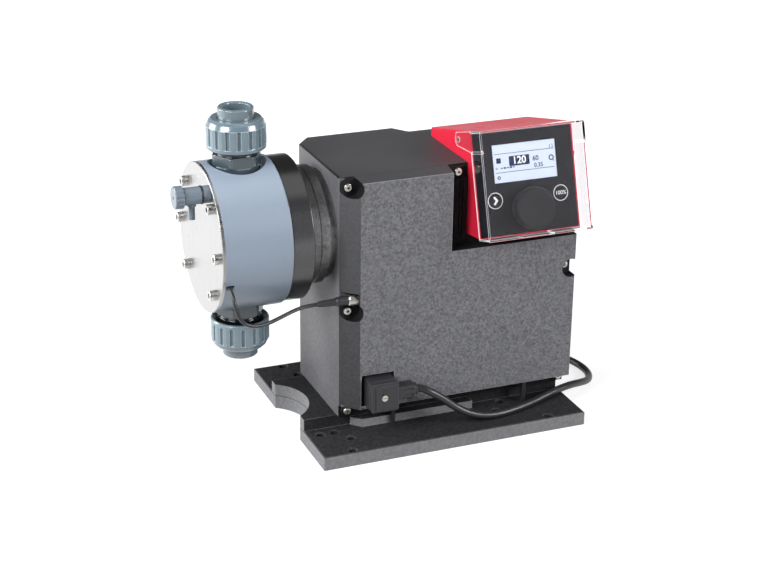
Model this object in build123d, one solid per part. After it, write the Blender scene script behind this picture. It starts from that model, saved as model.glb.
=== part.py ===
from build123d import *
import math
import os

# A motor driven diaphragm metering pump on its mounting plate.
# All sizes are millimetres. The origin is the middle of the plate's underside,
# +X points away from the dosing head, the display side faces -Y, +Z is up.

# Mounting plate with its slide rail
PLATE_LENGTH = 277.0
PLATE_WIDTH = 213.0
PLATE_THICK = 14.0
PLATE_EDGE = 0.8
RAIL_RISE = 12.3
RAIL_WIDTH = 96.0
RAIL_END_GAP = 3.0
NOTCH_RADIUS = 45.2
NOTCH_DEPTH = 20.0
NOTCH_SEAM = 0.8
LEDGE_RISE = 8.2
LEDGE_REACH = 11.0
LEDGE_START = 48.0
LEDGE_LENGTH = 127.0
LEDGE_CORNER = 9.0
BOLT_HOLE_R = 4.3
BOLT_HOLE_EDGE = 0.7
CORNER_SPACING_X = 208.0
CORNER_EDGE_Y = 5.5
CORNER_MID_X = -4.0
PAIR_SPACING_X = 14.6
PAIR_SPACING_Y = 119.0
PAIR_MID_X = -118.2
LINE_HOLES = [(-100.2, 153.4), (56.6, 144.0), (69.1, 110.0)]
POST_WIDTH = 4.0
POST_DEPTH = 3.0
POST_PLACES = [-52.0, 90.0]

# Housing: a rear shell and a front cover that meet on one plane
HOUSING_INSET = 34.2
HOUSING_LENGTH = 243.8
HOUSING_FRONT = 57.0
HOUSING_BACK = 69.2
HOUSING_BACK_NARROW = 53.0
HOUSING_STEP_AT = 104.3
HOUSING_STEP_RUN = 11.6
HOUSING_CHAMFER_X = 12.6
HOUSING_CHAMFER_Y = 15.4
HOUSING_OVER_AXIS = 63.6
HOUSING_WALL = 4.0
HOUSING_EDGE = 1.6
COVER_DEPTH = 16.0
COVER_WALL = 3.5
COVER_LIFT = 11.9
COVER_SLOPE = 3.0
CUTOUT_FROM_LEFT = 109.3
CUTOUT_MARGIN = 10.4
SCREW_WELL_R = 9.5
SCREW_FLOOR = 3.6
SCREW_HEAD_R = 3.9
SCREW_HEAD_H = 2.6
SCREW_SHANK_R = 2.0
SCREW_LENGTH = 16.0
SCREW_BOSS_R = 5.2
SCREW_BOSS_LENGTH = 24.0
SCREW_INSET = 7.2
SCREW_DROP = 4.6
TOP_SCREW_DROP = 9.0
SENSOR_SCREW_DROP = 12.5
TAB_SCREW_IN = 9.5
TAB_SCREW_DROP = 6.5
RIGHT_SCREW_DROP = 35.0
RECESS_PAD_RISE = 2.4
RECESS_PAD_IN = 7.0
RECESS_PAD_LIFT = 5.0
RECESS_PAD_DROP = 13.0
RECESS_GROOVE = 0.8
FIT_GAP = 0.05

# Dosing head and the parts between it and the housing
AXIS_HEIGHT = 208.8
AXIS_Y = 4.0
FLANGE_R = 57.6
FLANGE_LENGTH = 27.5
FLANGE_BORE_R = 40.0
FLANGE_WEB = 9.0
FLANGE_SEAM_AT = 17.0
FLANGE_FOOT = 4.0
RING_R = 70.3
RING_LENGTH = 21.6
RING_BORE_R = 43.0
HEAD_R = 71.9
HEAD_LENGTH = 65.3
HEAD_EDGE = 1.0
FRONT_PLATE_THICK = 3.0
BOLT_CIRCLE_R = 60.1
BOLT_ANGLES = [0.0, 45.0, 135.0, 180.0, 225.0, 315.0]
HEAD_SCREW_R = 3.0
HEAD_SCREW_HEAD_R = 5.0
HEAD_SCREW_HEAD_H = 6.0
HEX_KEY = 5.0
HEX_DEPTH = 3.0

# Diaphragms and their clamped rims
DIAPHRAGM_RIM_R = 50.0
DIAPHRAGM_RIM_THICK = 3.0
CORE_R = 30.0
CORE_THICK = 5.0
CHAMBER_R = 42.0
CHAMBER_DEPTH = 8.0
SAFETY_RIM_R = 47.0
SAFETY_THICK = 2.0
SOFT_GAP = 0.3

# Valves and unions, measured outward from the head's axis
UNION_FROM_FRONT = 36.9
POCKET_R = 27.3
POCKET_FLOOR = 62.2
VALVE_SPIGOT_R = 18.0
VALVE_SPIGOT_DEPTH = 14.0
VALVE_COLLAR_R = 22.0
HEX_START = 69.5
HEX_END = 80.3
HEX_FLATS = 42.0
THREAD_R = 20.9
NECK_END = 103.0
VALVE_BORE_R = 10.5
CHANNEL_R = 6.0
NUT_START = 85.2
NUT_END = 114.0
NUT_R = 28.3
NUT_RIB_RISE = 1.7
NUT_RING = 4.8
NUT_SHOULDER = 7.6
NUT_RIBS = 16
NUT_LIP = 6.0
NUT_MOUTH_R = 25.4
NUT_MOUTH_DEPTH = 3.6
INSERT_R = 17.0
INSERT_END = 124.5
INSERT_FLANGE_THICK = 4.8
PIPE_SOCKET_R = 12.6
PIPE_SOCKET_DEPTH = 18.0
RUN_GAP = 0.3
BALL_R = 7.9
BALL_LIFT = 3.0
SEAT_THICK = 5.0
SEAT_BORE_R = 4.8
ORING_MINOR_R = 1.5
ORING_MAJOR_R = 16.2

# Deaeration valve on the head's front plate
DEAER_Y = -31.0
DEAER_Z = 53.5
DEAER_R = 8.3
DEAER_LENGTH = 25.0
DEAER_SEAL_AT = 7.5
DEAER_KNOB_R = 10.7
DEAER_KNOB_LENGTH = 8.2
DEAER_STEM_R = 3.0
DEAER_SPIGOT_AT = 16.5
DEAER_SPIGOT_R = 3.0
DEAER_SPIGOT_LENGTH = 22.5
DEAER_COLLAR_R = 4.2
DEAER_COLLAR_DROP = 1.4
KNOB_FLUTES = 14

# Control cube: a wedge case, a leaning panel and a clear lid
CUBE_FROM_LEFT = 130.6
CUBE_WIDTH = 105.0
CUBE_WALL = 3.0
CUBE_BACK_REACH = 87.0
CUBE_BACK_RISE = 9.1
ROOF_SLOT_PLACES = [-27.5, 16.0]
ROOF_SLOT_BACK = 28.0
CUBE_DROP_SHARE = 0.715
PANEL_TILT = 17.0
PANEL_HEIGHT = 100.0
PANEL_THICK = 2.5
PANEL_RIM = 1.4
PANEL_FRONT_SHARE = 0.346
PANEL_FOOT = 6.2
LCD_WIDE_SHARE = 0.6314
LCD_TALL_SHARE = 0.362
LCD_AT_SHARE = 0.682
LCD_SINK = 0.4
WHEEL_R = 20.3
WHEEL_HEIGHT = 16.5
WHEEL_W = 23.5
WHEEL_LIFT = 1.0
WHEEL_BASE_R = 18.6
WHEEL_WALL = 2.4
BUTTON_R = 7.9
BUTTON_AT_SHARE = 0.34
BUTTON_SPREAD_SHARE = 0.3295
BUTTON_THICK = 4.0
BUTTON_RISE = 0.5
BOARD_DEPTH = 6.0
BUTTON_TRAVEL = 0.8
SHAFT_R = 3.0
PUSH_TRAVEL = 0.5
LID_WALL = 2.0
LID_DEPTH = 23.5
LID_OVER = 1.7
LID_UNDER = 2.5
LID_GAP = 0.3
LID_PIVOT_DROP = 5.5
LID_PIVOT_N = -26.8
LID_EAR_R = 9.4
LID_FOOT_DROP = 18.5
LID_PIN_R = 2.5
LID_NOTCH_HALF = 17.0
LID_NOTCH_DEPTH = 11.6

# Mains inlet in the cover, its plug and the lead
INLET_X0 = 17.6
INLET_WIDTH = 34.3
INLET_Z0 = 3.2
INLET_TOP = 35.8
INLET_DEPTH = 9.0
PLUG_WIDTH = 28.0
PLUG_HEIGHT = 30.0
PLUG_DEPTH = 26.5
PLUG_FROM_LEFT = 21.3
PLUG_Z0 = 3.3
GLAND_R = 6.2
GLAND_HALF = 7.2
GLAND_TIP = 3.2
GLAND_GROOVE = 1.4
PLUG_SEAM_AT = 6.0
PLUG_SEAM = 0.5
PLUG_STRIP = 5.4
GLAND_LENGTH = 21.0
GLAND_Z = 16.0
GLAND_Y = 8.1
LEAD_R = 3.75
LEAD_ROUTE = [
    (-22.0, -83.5, 54.0),
    (-8.0, -84.5, 44.5),
    (6.0, -85.6, 32.5),
    (23.0, -87.6, 22.4),
    (44.0, -88.8, 18.0),
    (70.0, -84.5, 17.9),
    (98.0, -75.0, 18.3),
    (124.0, -65.4, 20.6),
    (148.0, -55.0, 19.2),
    (168.0, -43.5, 13.6),
    (185.0, -29.0, 7.2),
    (196.0, -9.0, 4.1),
    (197.0, 14.0, 3.9),
    (189.0, 39.0, 3.95),
    (177.0, 66.0, 3.9),
    (166.0, 91.0, 3.95),
    (157.0, 114.0, 3.9),
    (150.5, 134.0, 3.95),
    (146.3, 153.0, 3.9),
    (145.0, 172.0, 3.9),
]
COIL_MEAN_R = 44.0
COIL_LAYERS = 2
LEAD_TAIL_STEPS = [10.0, 24.0, 46.0, 60.0]
LEAD_PLUG_R = 18.5
LEAD_PLUG_LENGTH = 30.0
LEAD_PLUG_NECK = 20.0
EARTH_PIN_R = 2.4
PIN_SPACING = 19.0
PIN_LENGTH = 19.0

# Diaphragm sensor line from the head to the cover
SENSOR_Y = -61.0
SENSOR_Z = 152.0
SENSOR_SOCKET_X = -89.0
SENSOR_R = 4.6
SENSOR_NUT_R = 5.3
SENSOR_NUT_LENGTH = 8.0
SENSOR_BODY_LENGTH = 12.0
SENSOR_RELIEF_LENGTH = 18.0
SENSOR_CORD_R = 1.8
SENSOR_SLOT_ANGLE = 202.0
SENSOR_SLOT_AT = 7.4
SENSOR_ROUTE = [
    (-214.3, -63.5, 181.5),
    (-214.4, -71.0, 177.5),
    (-213.8, -76.0, 169.0),
    (-211.5, -77.5, 158.5),
    (-205.0, -77.5, 149.6),
    (-194.0, -76.0, 145.4),
    (-180.0, -72.5, 145.6),
    (-165.0, -68.0, 148.6),
    (-151.0, -63.6, 151.2),
    (-139.5, -61.0, 152.0),
    (-129.0, -61.0, 152.0),
]

# Drive: stepper motor, gear pair, eccentric and tappet
ECCENTRIC_FROM_LEFT = 74.3
ECCENTRICITY = 2.0
ECCENTRIC_R = 14.0
MAIN_SHAFT_R = 6.0
GEAR_MODULE = 1.5
GEAR_TEETH = 54
PINION_TEETH = 18
GEAR_WIDTH = 8.0
GEAR_BACKLASH = 0.3
YOKE_THICK = 12.0
YOKE_WALL = 8.0
YOKE_CLEAR = 0.6
TAPPET_R = 8.0
BUSH_WALL = 4.0
BUSH_LENGTH = 24.0
FRAME_WALL = 4.0
FRAME_HALF_GAP = 26.0
FRAME_PAST_SHAFT = 52.0
FRAME_ABOVE = 38.0
FRAME_BELOW_MOTOR = 36.0
BEARING_R = 13.0
MOTOR_SIZE = 56.4
MOTOR_LENGTH = 46.0
MOTOR_SHAFT_R = 3.2
BOARD_THICK = 1.6
BOARD_INSET = 12.0
BOARD_PILLAR = 8.0
SUPPLY_UP = 14.0
SUPPLY_TALL = 38.0
SUPPLY_DEPTH = 26.0
CAPACITOR_UP = 72.0
CAPACITOR_LENGTH = 22.0
CAPACITOR_R = 5.5
CAPACITOR_PITCH = 14.0

# Places that follow from the sizes above
LEFT = -PLATE_LENGTH / 2 + HOUSING_INSET
RIGHT = LEFT + HOUSING_LENGTH
BASE = PLATE_THICK + RAIL_RISE
TOP = AXIS_HEIGHT + HOUSING_OVER_AXIS
SPLIT = AXIS_Y - HOUSING_FRONT
BACK = AXIS_Y + HOUSING_BACK
COVER_FRONT = SPLIT - COVER_DEPTH
COVER_BASE = BASE + COVER_LIFT
CUTOUT_X = LEFT + CUTOUT_FROM_LEFT
FLANGE_FRONT = LEFT - FLANGE_LENGTH
RING_FRONT = FLANGE_FRONT - RING_LENGTH
HEAD_FRONT = RING_FRONT - HEAD_LENGTH
STEEL_FRONT = HEAD_FRONT - FRONT_PLATE_THICK
UNION_X = STEEL_FRONT + UNION_FROM_FRONT
ECC_X = LEFT + ECCENTRIC_FROM_LEFT
GEAR_CENTRES = GEAR_MODULE * (GEAR_TEETH + PINION_TEETH) / 2
MOTOR_Z = AXIS_HEIGHT - GEAR_CENTRES
GEAR_Y0 = AXIS_Y + FRAME_HALF_GAP + FRAME_WALL + 3.0
CUBE_LEFT = LEFT + CUBE_FROM_LEFT
CUBE_MID = CUBE_LEFT + CUBE_WIDTH / 2
TILT = math.radians(PANEL_TILT)
CUBE_BASE = TOP - CUBE_DROP_SHARE * PANEL_HEIGHT
CUTOUT_Z = CUBE_BASE - CUTOUT_MARGIN
PANEL_Y = SPLIT - PANEL_FRONT_SHARE * PANEL_HEIGHT
PANEL_Z = CUBE_BASE + PANEL_FOOT
LCD_WIDTH = LCD_WIDE_SHARE * CUBE_WIDTH
LCD_HEIGHT = LCD_TALL_SHARE * PANEL_HEIGHT
LCD_W = LCD_AT_SHARE * PANEL_HEIGHT
BUTTON_W = BUTTON_AT_SHARE * PANEL_HEIGHT
BUTTON_SPREAD = BUTTON_SPREAD_SHARE * CUBE_WIDTH
LID_PIVOT_W = PANEL_HEIGHT - LID_PIVOT_DROP
LID_EAR_FOOT_W = PANEL_HEIGHT - LID_FOOT_DROP
CORNER_SPACING_Y = PLATE_WIDTH - 2 * CORNER_EDGE_Y
COIL_X = LEAD_ROUTE[-1][0] - COIL_MEAN_R - LEAD_R
COIL_Y = LEAD_ROUTE[-1][1]
COIL_TOP = 2 * LEAD_R * COIL_LAYERS + 0.15
LEAD_FLOOR = 0.15


def block(x0, x1, y0, y1, z0, z1):
    """A box between two corners."""
    solid = Box(abs(x1 - x0), abs(y1 - y0), abs(z1 - z0))
    return Pos((x0 + x1) / 2, (y0 + y1) / 2, (z0 + z1) / 2) * solid


def rod_x(x0, x1, y, z, r):
    """A round bar along X."""
    return Pos((x0 + x1) / 2, y, z) * Rot(0, 90, 0) * Cylinder(r, abs(x1 - x0))


def rod_y(x, y0, y1, z, r):
    """A round bar along Y."""
    return Pos(x, (y0 + y1) / 2, z) * Rot(90, 0, 0) * Cylinder(r, abs(y1 - y0))


def rod_z(x, y, z0, z1, r):
    """A round bar along Z."""
    return Pos(x, y, (z0 + z1) / 2) * Cylinder(r, abs(z1 - z0))


def turned(points, spots=None):
    """A body turned about the Z axis from an outline of radius and height."""
    outline = Polyline(*[(r, 0, h) for r, h in points], close=True)
    return revolve(make_face(outline), Axis.Z)


def turned_x(points):
    """A body turned about the head's axis from an outline of radius and x."""
    return Pos(0, AXIS_Y, AXIS_HEIGHT) * Rot(0, 90, 0) * turned(points)


def prism_x(points, x0, x1):
    """A YZ outline drawn out along X."""
    face = make_face(Polyline(*[(x0, y, z) for y, z in points], close=True))
    return extrude(face, amount=abs(x1 - x0), dir=(1, 0, 0))


def prism_y(points, y0, y1):
    """An XZ outline drawn out along Y."""
    face = make_face(Polyline(*[(x, y0, z) for x, z in points], close=True))
    return extrude(face, amount=abs(y1 - y0), dir=(0, 1, 0))


def prism_z(points, z0, z1):
    """An XY outline drawn out along Z."""
    face = make_face(Polyline(*[(x, y, z0) for x, y in points], close=True))
    return extrude(face, amount=abs(z1 - z0), dir=(0, 0, 1))


def hexagon_bar(flats, height):
    """A hexagon along Z, standing on z = 0."""
    corner = flats / math.sqrt(3)
    points = []
    for degrees in range(0, 360, 60):
        a = math.radians(degrees)
        points.append((corner * math.cos(a), corner * math.sin(a)))
    return prism_z(points, 0, height)


def on_panel(solid):
    """Places a solid drawn in panel space: x across, y up the panel, z out of it."""
    origin = (CUBE_MID, PANEL_Y, PANEL_Z)
    out = (0, -math.cos(TILT), math.sin(TILT))
    return Plane(origin=origin, x_dir=(1, 0, 0), z_dir=out).location * solid


def save(name, solids):
    """Writes one named piece, or a group of like pieces."""
    if isinstance(solids, list):
        solids = Compound(children=solids)
    solids.label = name
    export_step(solids, "parts/" + name + ".step")


# The plate and what stands on it

def bolt_places():
    """Every bolt hole of the plate as x and y."""
    places = []
    for sx in (-0.5, 0.5):
        for sy in (-0.5, 0.5):
            places.append((CORNER_MID_X + sx * CORNER_SPACING_X, sy * CORNER_SPACING_Y))
            places.append((PAIR_MID_X + sx * PAIR_SPACING_X, sy * PAIR_SPACING_Y))
    for x, spread in LINE_HOLES:
        places.append((x, spread / 2))
        places.append((x, -spread / 2))
    return places


def mounting_plate():
    half_l = PLATE_LENGTH / 2
    slab = block(-half_l, half_l, -PLATE_WIDTH / 2, PLATE_WIDTH / 2, 0, PLATE_THICK)
    slab = chamfer(slab.edges().group_by(Axis.Z)[-1], PLATE_EDGE)
    rail = block(-half_l, half_l - RAIL_END_GAP, -RAIL_WIDTH / 2, RAIL_WIDTH / 2, PLATE_THICK, BASE)
    x0 = -half_l + LEDGE_START
    y0 = -RAIL_WIDTH / 2
    y1 = y0 - LEDGE_REACH
    x1 = x0 + LEDGE_LENGTH
    corner = [(x0, y0), (x0, y0 - 2), (x0 + LEDGE_CORNER, y1), (x1, y1), (x1, y0)]
    ledge = prism_z(corner, PLATE_THICK, PLATE_THICK + LEDGE_RISE)
    body = slab + rail + ledge
    notch_x = -half_l - NOTCH_RADIUS + NOTCH_DEPTH
    body -= rod_z(notch_x, 0, -1, BASE + 1, NOTCH_RADIUS)
    half_seam = NOTCH_SEAM / 2
    body -= rod_z(notch_x, 0, PLATE_THICK - half_seam, PLATE_THICK + half_seam, NOTCH_RADIUS + NOTCH_SEAM)
    for x, y in bolt_places():
        hole = rod_z(x, y, -1, PLATE_THICK + 1, BOLT_HOLE_R)
        cone = Cone(BOLT_HOLE_R, BOLT_HOLE_R + BOLT_HOLE_EDGE, BOLT_HOLE_EDGE)
        sink = Pos(x, y, PLATE_THICK - BOLT_HOLE_EDGE / 2) * cone
        body -= hole + sink
    return body


def locking_posts():
    posts = []
    y0 = -RAIL_WIDTH / 2 - LEDGE_REACH - POST_DEPTH
    for x in POST_PLACES:
        posts.append(block(x, x + POST_WIDTH, y0, y0 + POST_DEPTH, PLATE_THICK, COVER_BASE))
    return posts


# The housing's two shells

def housing_outline(inset):
    """The rear shell's plan, moved inward by a wall."""
    step_x = LEFT + HOUSING_STEP_AT
    lean = inset * 0.4
    return [
        (LEFT + inset, SPLIT),
        (RIGHT - inset, SPLIT),
        (RIGHT - inset, AXIS_Y + HOUSING_BACK_NARROW - inset),
        (step_x + HOUSING_STEP_RUN - lean, AXIS_Y + HOUSING_BACK_NARROW - inset),
        (step_x - lean, BACK - inset),
        (LEFT + HOUSING_CHAMFER_X + lean, BACK - inset),
        (LEFT + inset, BACK - HOUSING_CHAMFER_Y - lean),
    ]


def screw_places():
    """Cover screws as x and z."""
    left = LEFT + SCREW_INSET
    right = RIGHT - SCREW_INSET
    return [
        (left, TOP - TOP_SCREW_DROP),
        (left, SENSOR_Z - SENSOR_SCREW_DROP),
        (left, COVER_BASE - SCREW_DROP),
        (CUTOUT_X + TAB_SCREW_IN, TOP - TAB_SCREW_DROP),
        (right, CUTOUT_Z - RIGHT_SCREW_DROP),
        (right, COVER_BASE - SCREW_DROP),
    ]


def rear_housing():
    body = prism_z(housing_outline(0), BASE, TOP)
    upright = body.edges().filter_by(Axis.Z).sort_by(Axis.Y)[2:]
    body = fillet(upright, HOUSING_EDGE)
    rim = body.faces().sort_by(Axis.Z)[-1].edges().sort_by(Axis.Y)[1:]
    body = chamfer(rim, HOUSING_EDGE)
    hollow = prism_z(housing_outline(HOUSING_WALL), BASE + HOUSING_WALL, TOP - HOUSING_WALL)
    front_wall = block(CUTOUT_X, RIGHT, SPLIT, SPLIT + HOUSING_WALL, CUTOUT_Z, TOP)
    front_wall += block(LEFT, RIGHT, SPLIT, SPLIT + HOUSING_WALL, BASE, COVER_BASE + COVER_WALL)
    body -= hollow - front_wall
    body -= rod_x(LEFT - 1, LEFT + HOUSING_WALL + 1, AXIS_Y, AXIS_HEIGHT, TAPPET_R + BUSH_WALL + 6.0)
    body += recess_pad()
    for x, z in screw_places():
        boss = rod_y(x, SPLIT, SPLIT + SCREW_BOSS_LENGTH, z, SCREW_BOSS_R)
        body += boss & prism_z(housing_outline(0), BASE, TOP)
    for x, z in screw_places():
        body -= rod_y(x, SPLIT - 1, SPLIT + SCREW_LENGTH, z, SCREW_SHANK_R + FIT_GAP)
    return body


def recess_pad():
    """The raised, grooved strip that guides the control cube's left side."""
    x0 = CUTOUT_X + RECESS_PAD_IN
    x1 = CUBE_LEFT - 2 * FIT_GAP
    z0 = CUTOUT_Z + RECESS_PAD_LIFT
    z1 = TOP - RECESS_PAD_DROP
    pad = block(x0, x1, SPLIT - RECESS_PAD_RISE, SPLIT + 1, z0, z1)
    pad = chamfer(pad.edges().group_by(Axis.Y)[0], RECESS_GROOVE)
    for share in (0.35, 0.6):
        x = x0 + share * (x1 - x0)
        front = SPLIT - RECESS_PAD_RISE - 1
        floor = SPLIT - RECESS_PAD_RISE / 2
        pad -= block(x - RECESS_GROOVE, x + RECESS_GROOVE, front, floor, z0 + 4.0, z1 - 4.0)
    return pad


def cover_outline(inset):
    """The cover's plan with its slanted left corner."""
    slant = inset * math.sqrt(2)
    return [
        (LEFT + slant, SPLIT),
        (LEFT + COVER_DEPTH + slant - inset, COVER_FRONT + inset),
        (RIGHT - inset, COVER_FRONT + inset),
        (RIGHT - inset, SPLIT),
    ]


def cover_wells():
    """Round wells that the cover screws and the sensor socket stand in."""
    floor = SPLIT - SCREW_FLOOR
    wells = []
    for x, z in screw_places()[:2]:
        wells.append(rod_y(x + 2.3, COVER_FRONT - 1, floor, z, SCREW_WELL_R))
    x, z = screw_places()[1]
    reach = SENSOR_Z + SENSOR_NUT_R + 1.5
    wells.append(block(LEFT - 1, SENSOR_SOCKET_X, COVER_FRONT - 1, floor + 3.4, SENSOR_Z - 7.0, reach))
    x, z = screw_places()[4]
    wells.append(rod_y(RIGHT - SCREW_INSET + 2.3, COVER_FRONT - 1, floor, z, SCREW_WELL_R))
    return wells


def cover_lugs():
    """Ears below the cover's foot for the two lower screws."""
    lugs = []
    for x, z in (screw_places()[2], screw_places()[5]):
        lug = rod_y(x, SPLIT - SCREW_FLOOR, SPLIT, z, SCREW_BOSS_R)
        lug += block(x - SCREW_BOSS_R, x + SCREW_BOSS_R, SPLIT - SCREW_FLOOR, SPLIT, z, COVER_BASE + 1.0)
        lugs.append(lug)
    return lugs


def front_cover():
    body = prism_z(cover_outline(0), COVER_BASE, TOP)
    body = fillet(body.edges().filter_by(Axis.Z).sort_by(Axis.Y)[:2], HOUSING_EDGE)
    slope = [(SPLIT, TOP), (COVER_FRONT, TOP - COVER_SLOPE), (COVER_FRONT - 1, TOP + 1), (SPLIT, TOP + 1)]
    body -= prism_x(slope, LEFT - 1, RIGHT + 1)
    cut = block(CUTOUT_X, RIGHT + 1, COVER_FRONT - 1, SPLIT + 1, CUTOUT_Z, TOP + 1)
    body -= cut
    inner = prism_z(cover_outline(COVER_WALL), COVER_BASE + COVER_WALL, TOP - COVER_SLOPE - COVER_WALL)
    wall = COVER_WALL
    inner -= block(CUTOUT_X - wall, RIGHT + 1, COVER_FRONT - 1, SPLIT + 1, CUTOUT_Z - wall, TOP + 1)
    for well in cover_wells():
        body -= well
        box = well.bounding_box()
        inner -= block(box.min.X, box.max.X + wall, box.min.Y, SPLIT + 1, box.min.Z - wall, box.max.Z + wall)
    body -= inner - inlet_box(wall)
    body -= inlet_box(0)
    for lug in cover_lugs():
        body += lug
    for x, z in screw_places():
        body -= rod_y(x, COVER_FRONT - 1, SPLIT + 1, z, SCREW_SHANK_R + FIT_GAP)
    x, z = screw_places()[3]
    body += corner_tab()
    x = SENSOR_SOCKET_X
    body -= rod_x(x - 1, x + wall + 1, SENSOR_Y, SENSOR_Z, SENSOR_NUT_R - 1.4 + FIT_GAP)
    return body


def corner_tab():
    """The small tongue that holds the cover beside the control cube."""
    x, z = screw_places()[3]
    x0 = CUTOUT_X - COVER_WALL
    y0 = SPLIT - SCREW_FLOOR
    tab = block(x0, x + SCREW_BOSS_R, y0, SPLIT, z - SCREW_BOSS_R, z + SCREW_BOSS_R)
    return tab - rod_y(x, y0 - 1, SPLIT + 1, z, SCREW_SHANK_R + FIT_GAP)


def inlet_box(wall):
    """The square well of the mains inlet, or the same with walls round it."""
    x0 = LEFT + INLET_X0 - wall
    x1 = LEFT + INLET_X0 + INLET_WIDTH + wall
    z0 = COVER_BASE + INLET_Z0 - wall
    z1 = COVER_BASE + INLET_TOP + wall
    return block(x0, x1, COVER_FRONT - 1, COVER_FRONT + INLET_DEPTH + wall, z0, z1)


def cover_screws():
    screws = []
    for x, z in screw_places():
        floor = SPLIT - SCREW_FLOOR
        head = Cylinder(SCREW_HEAD_R, SCREW_HEAD_H)
        head = fillet(head.edges().sort_by(Axis.Z)[-1], SCREW_HEAD_H * 0.45)
        star = Pos(0, 0, SCREW_HEAD_H / 2) * extrude(RegularPolygon(1.7, 6), amount=3.0, both=True)
        head = Pos(x, floor - SCREW_HEAD_H / 2, z) * Rot(90, 0, 0) * (head - star)
        screws.append(head + rod_y(x, floor, SPLIT + SCREW_LENGTH - 1, z, SCREW_SHANK_R))
    return screws


# Flange, ring, head and its steel plate

def bolt_circle(radius, x0, x1):
    """Six bars along X on the head's bolt circle."""
    bars = []
    for angle in BOLT_ANGLES:
        y = AXIS_Y + BOLT_CIRCLE_R * math.cos(math.radians(angle))
        z = AXIS_HEIGHT + BOLT_CIRCLE_R * math.sin(math.radians(angle))
        bars.append(rod_x(x0, x1, y, z, radius))
    return bars


def drive_flange():
    seam_x = LEFT - FLANGE_SEAM_AT
    neck = FLANGE_R - FLANGE_FOOT
    outline = [
        (TAPPET_R + BUSH_WALL + FIT_GAP, LEFT),
        (neck, LEFT),
        (neck, LEFT - 2.0),
        (neck + 1.4, LEFT - 5.0),
        (FLANGE_R, LEFT - 8.0),
        (FLANGE_R, seam_x + 0.5),
        (FLANGE_R - 0.7, seam_x),
        (FLANGE_R, seam_x - 0.5),
        (FLANGE_R, FLANGE_FRONT),
        (SAFETY_RIM_R, FLANGE_FRONT),
        (SAFETY_RIM_R, FLANGE_FRONT + SAFETY_THICK),
        (FLANGE_BORE_R, FLANGE_FRONT + SAFETY_THICK),
        (FLANGE_BORE_R, LEFT - FLANGE_WEB),
        (TAPPET_R + BUSH_WALL + FIT_GAP, LEFT - FLANGE_WEB),
    ]
    return turned_x(outline)


def drain_ring():
    outline = [
        (RING_BORE_R, FLANGE_FRONT),
        (RING_R - 1.0, FLANGE_FRONT),
        (RING_R, FLANGE_FRONT - 1.0),
        (RING_R, RING_FRONT + 0.6),
        (RING_R - 0.6, RING_FRONT),
        (RING_BORE_R, RING_FRONT),
    ]
    body = turned_x(outline)
    for bar in bolt_circle(HEAD_SCREW_R + FIT_GAP, RING_FRONT - 1, FLANGE_FRONT - 4.0):
        body -= bar
    drain_x = (FLANGE_FRONT + RING_FRONT) / 2
    body -= rod_z(drain_x, AXIS_Y, AXIS_HEIGHT - RING_R - 1, AXIS_HEIGHT - RING_BORE_R + 1, 2.5)
    return body


def head_space():
    """What is hollow in the dosing head: rim seat, chamber, pockets and channels."""
    back = RING_FRONT
    step = back - DIAPHRAGM_RIM_THICK
    seat = turned_x([(0, back + 1), (DIAPHRAGM_RIM_R, back + 1), (DIAPHRAGM_RIM_R, step), (0, step)])
    floor = back - DIAPHRAGM_RIM_THICK
    deep = floor - CHAMBER_DEPTH
    dish = turned_x([(0, floor), (CHAMBER_R, floor), (CHAMBER_R * 0.72, deep), (0, deep)])
    space = seat + dish
    for side in (-1, 1):
        z = AXIS_HEIGHT
        space += rod_z(UNION_X, AXIS_Y, z + side * POCKET_FLOOR, z + side * (HEAD_R + 1), POCKET_R)
        deep = POCKET_FLOOR - VALVE_SPIGOT_DEPTH
        space += rod_z(UNION_X, AXIS_Y, z + side * deep, z + side * (POCKET_FLOOR + 1), VALVE_SPIGOT_R)
        low = CHAMBER_R * 0.55
        space += rod_z(UNION_X, AXIS_Y, z + side * (low - 4), z + side * (deep + 1), CHANNEL_R)
        space += rod_x(UNION_X, floor - CHAMBER_DEPTH + 2, AXIS_Y, z + side * low, CHANNEL_R * 0.7)
    return space


def dosing_head():
    outline = [
        (0, RING_FRONT),
        (HEAD_R - HEAD_EDGE, RING_FRONT),
        (HEAD_R, RING_FRONT - HEAD_EDGE),
        (HEAD_R, HEAD_FRONT),
        (0, HEAD_FRONT),
    ]
    body = turned_x(outline) - head_space()
    for bar in bolt_circle(HEAD_SCREW_R + FIT_GAP, HEAD_FRONT - 1, RING_FRONT + 1):
        body -= bar
    body -= sensor_slot()
    body -= rod_x(HEAD_FRONT - 1, HEAD_FRONT + 12.0, AXIS_Y + DEAER_Y, AXIS_HEIGHT + DEAER_Z, DEAER_STEM_R)
    return body


def sensor_slot():
    """The slot in the head's rim that the sensor line comes out of."""
    slot = Box(8.0, 9.0, 4.6)
    x = STEEL_FRONT + SENSOR_SLOT_AT
    return Pos(x, AXIS_Y, AXIS_HEIGHT) * Rot(SENSOR_SLOT_ANGLE, 0, 0) * Pos(0, HEAD_R, 0) * slot


def head_front_plate():
    body = rod_x(STEEL_FRONT, HEAD_FRONT, AXIS_Y, AXIS_HEIGHT, HEAD_R)
    body = chamfer(body.edges().filter_by(GeomType.CIRCLE).sort_by(Axis.X)[0], 0.5)
    for bar in bolt_circle(HEAD_SCREW_R + FIT_GAP, STEEL_FRONT - 1, HEAD_FRONT + 1):
        body -= bar
    stem = DEAER_STEM_R + 2.0 + FIT_GAP
    body -= rod_x(STEEL_FRONT - 1, HEAD_FRONT + 1, AXIS_Y + DEAER_Y, AXIS_HEIGHT + DEAER_Z, stem)
    return body


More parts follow.
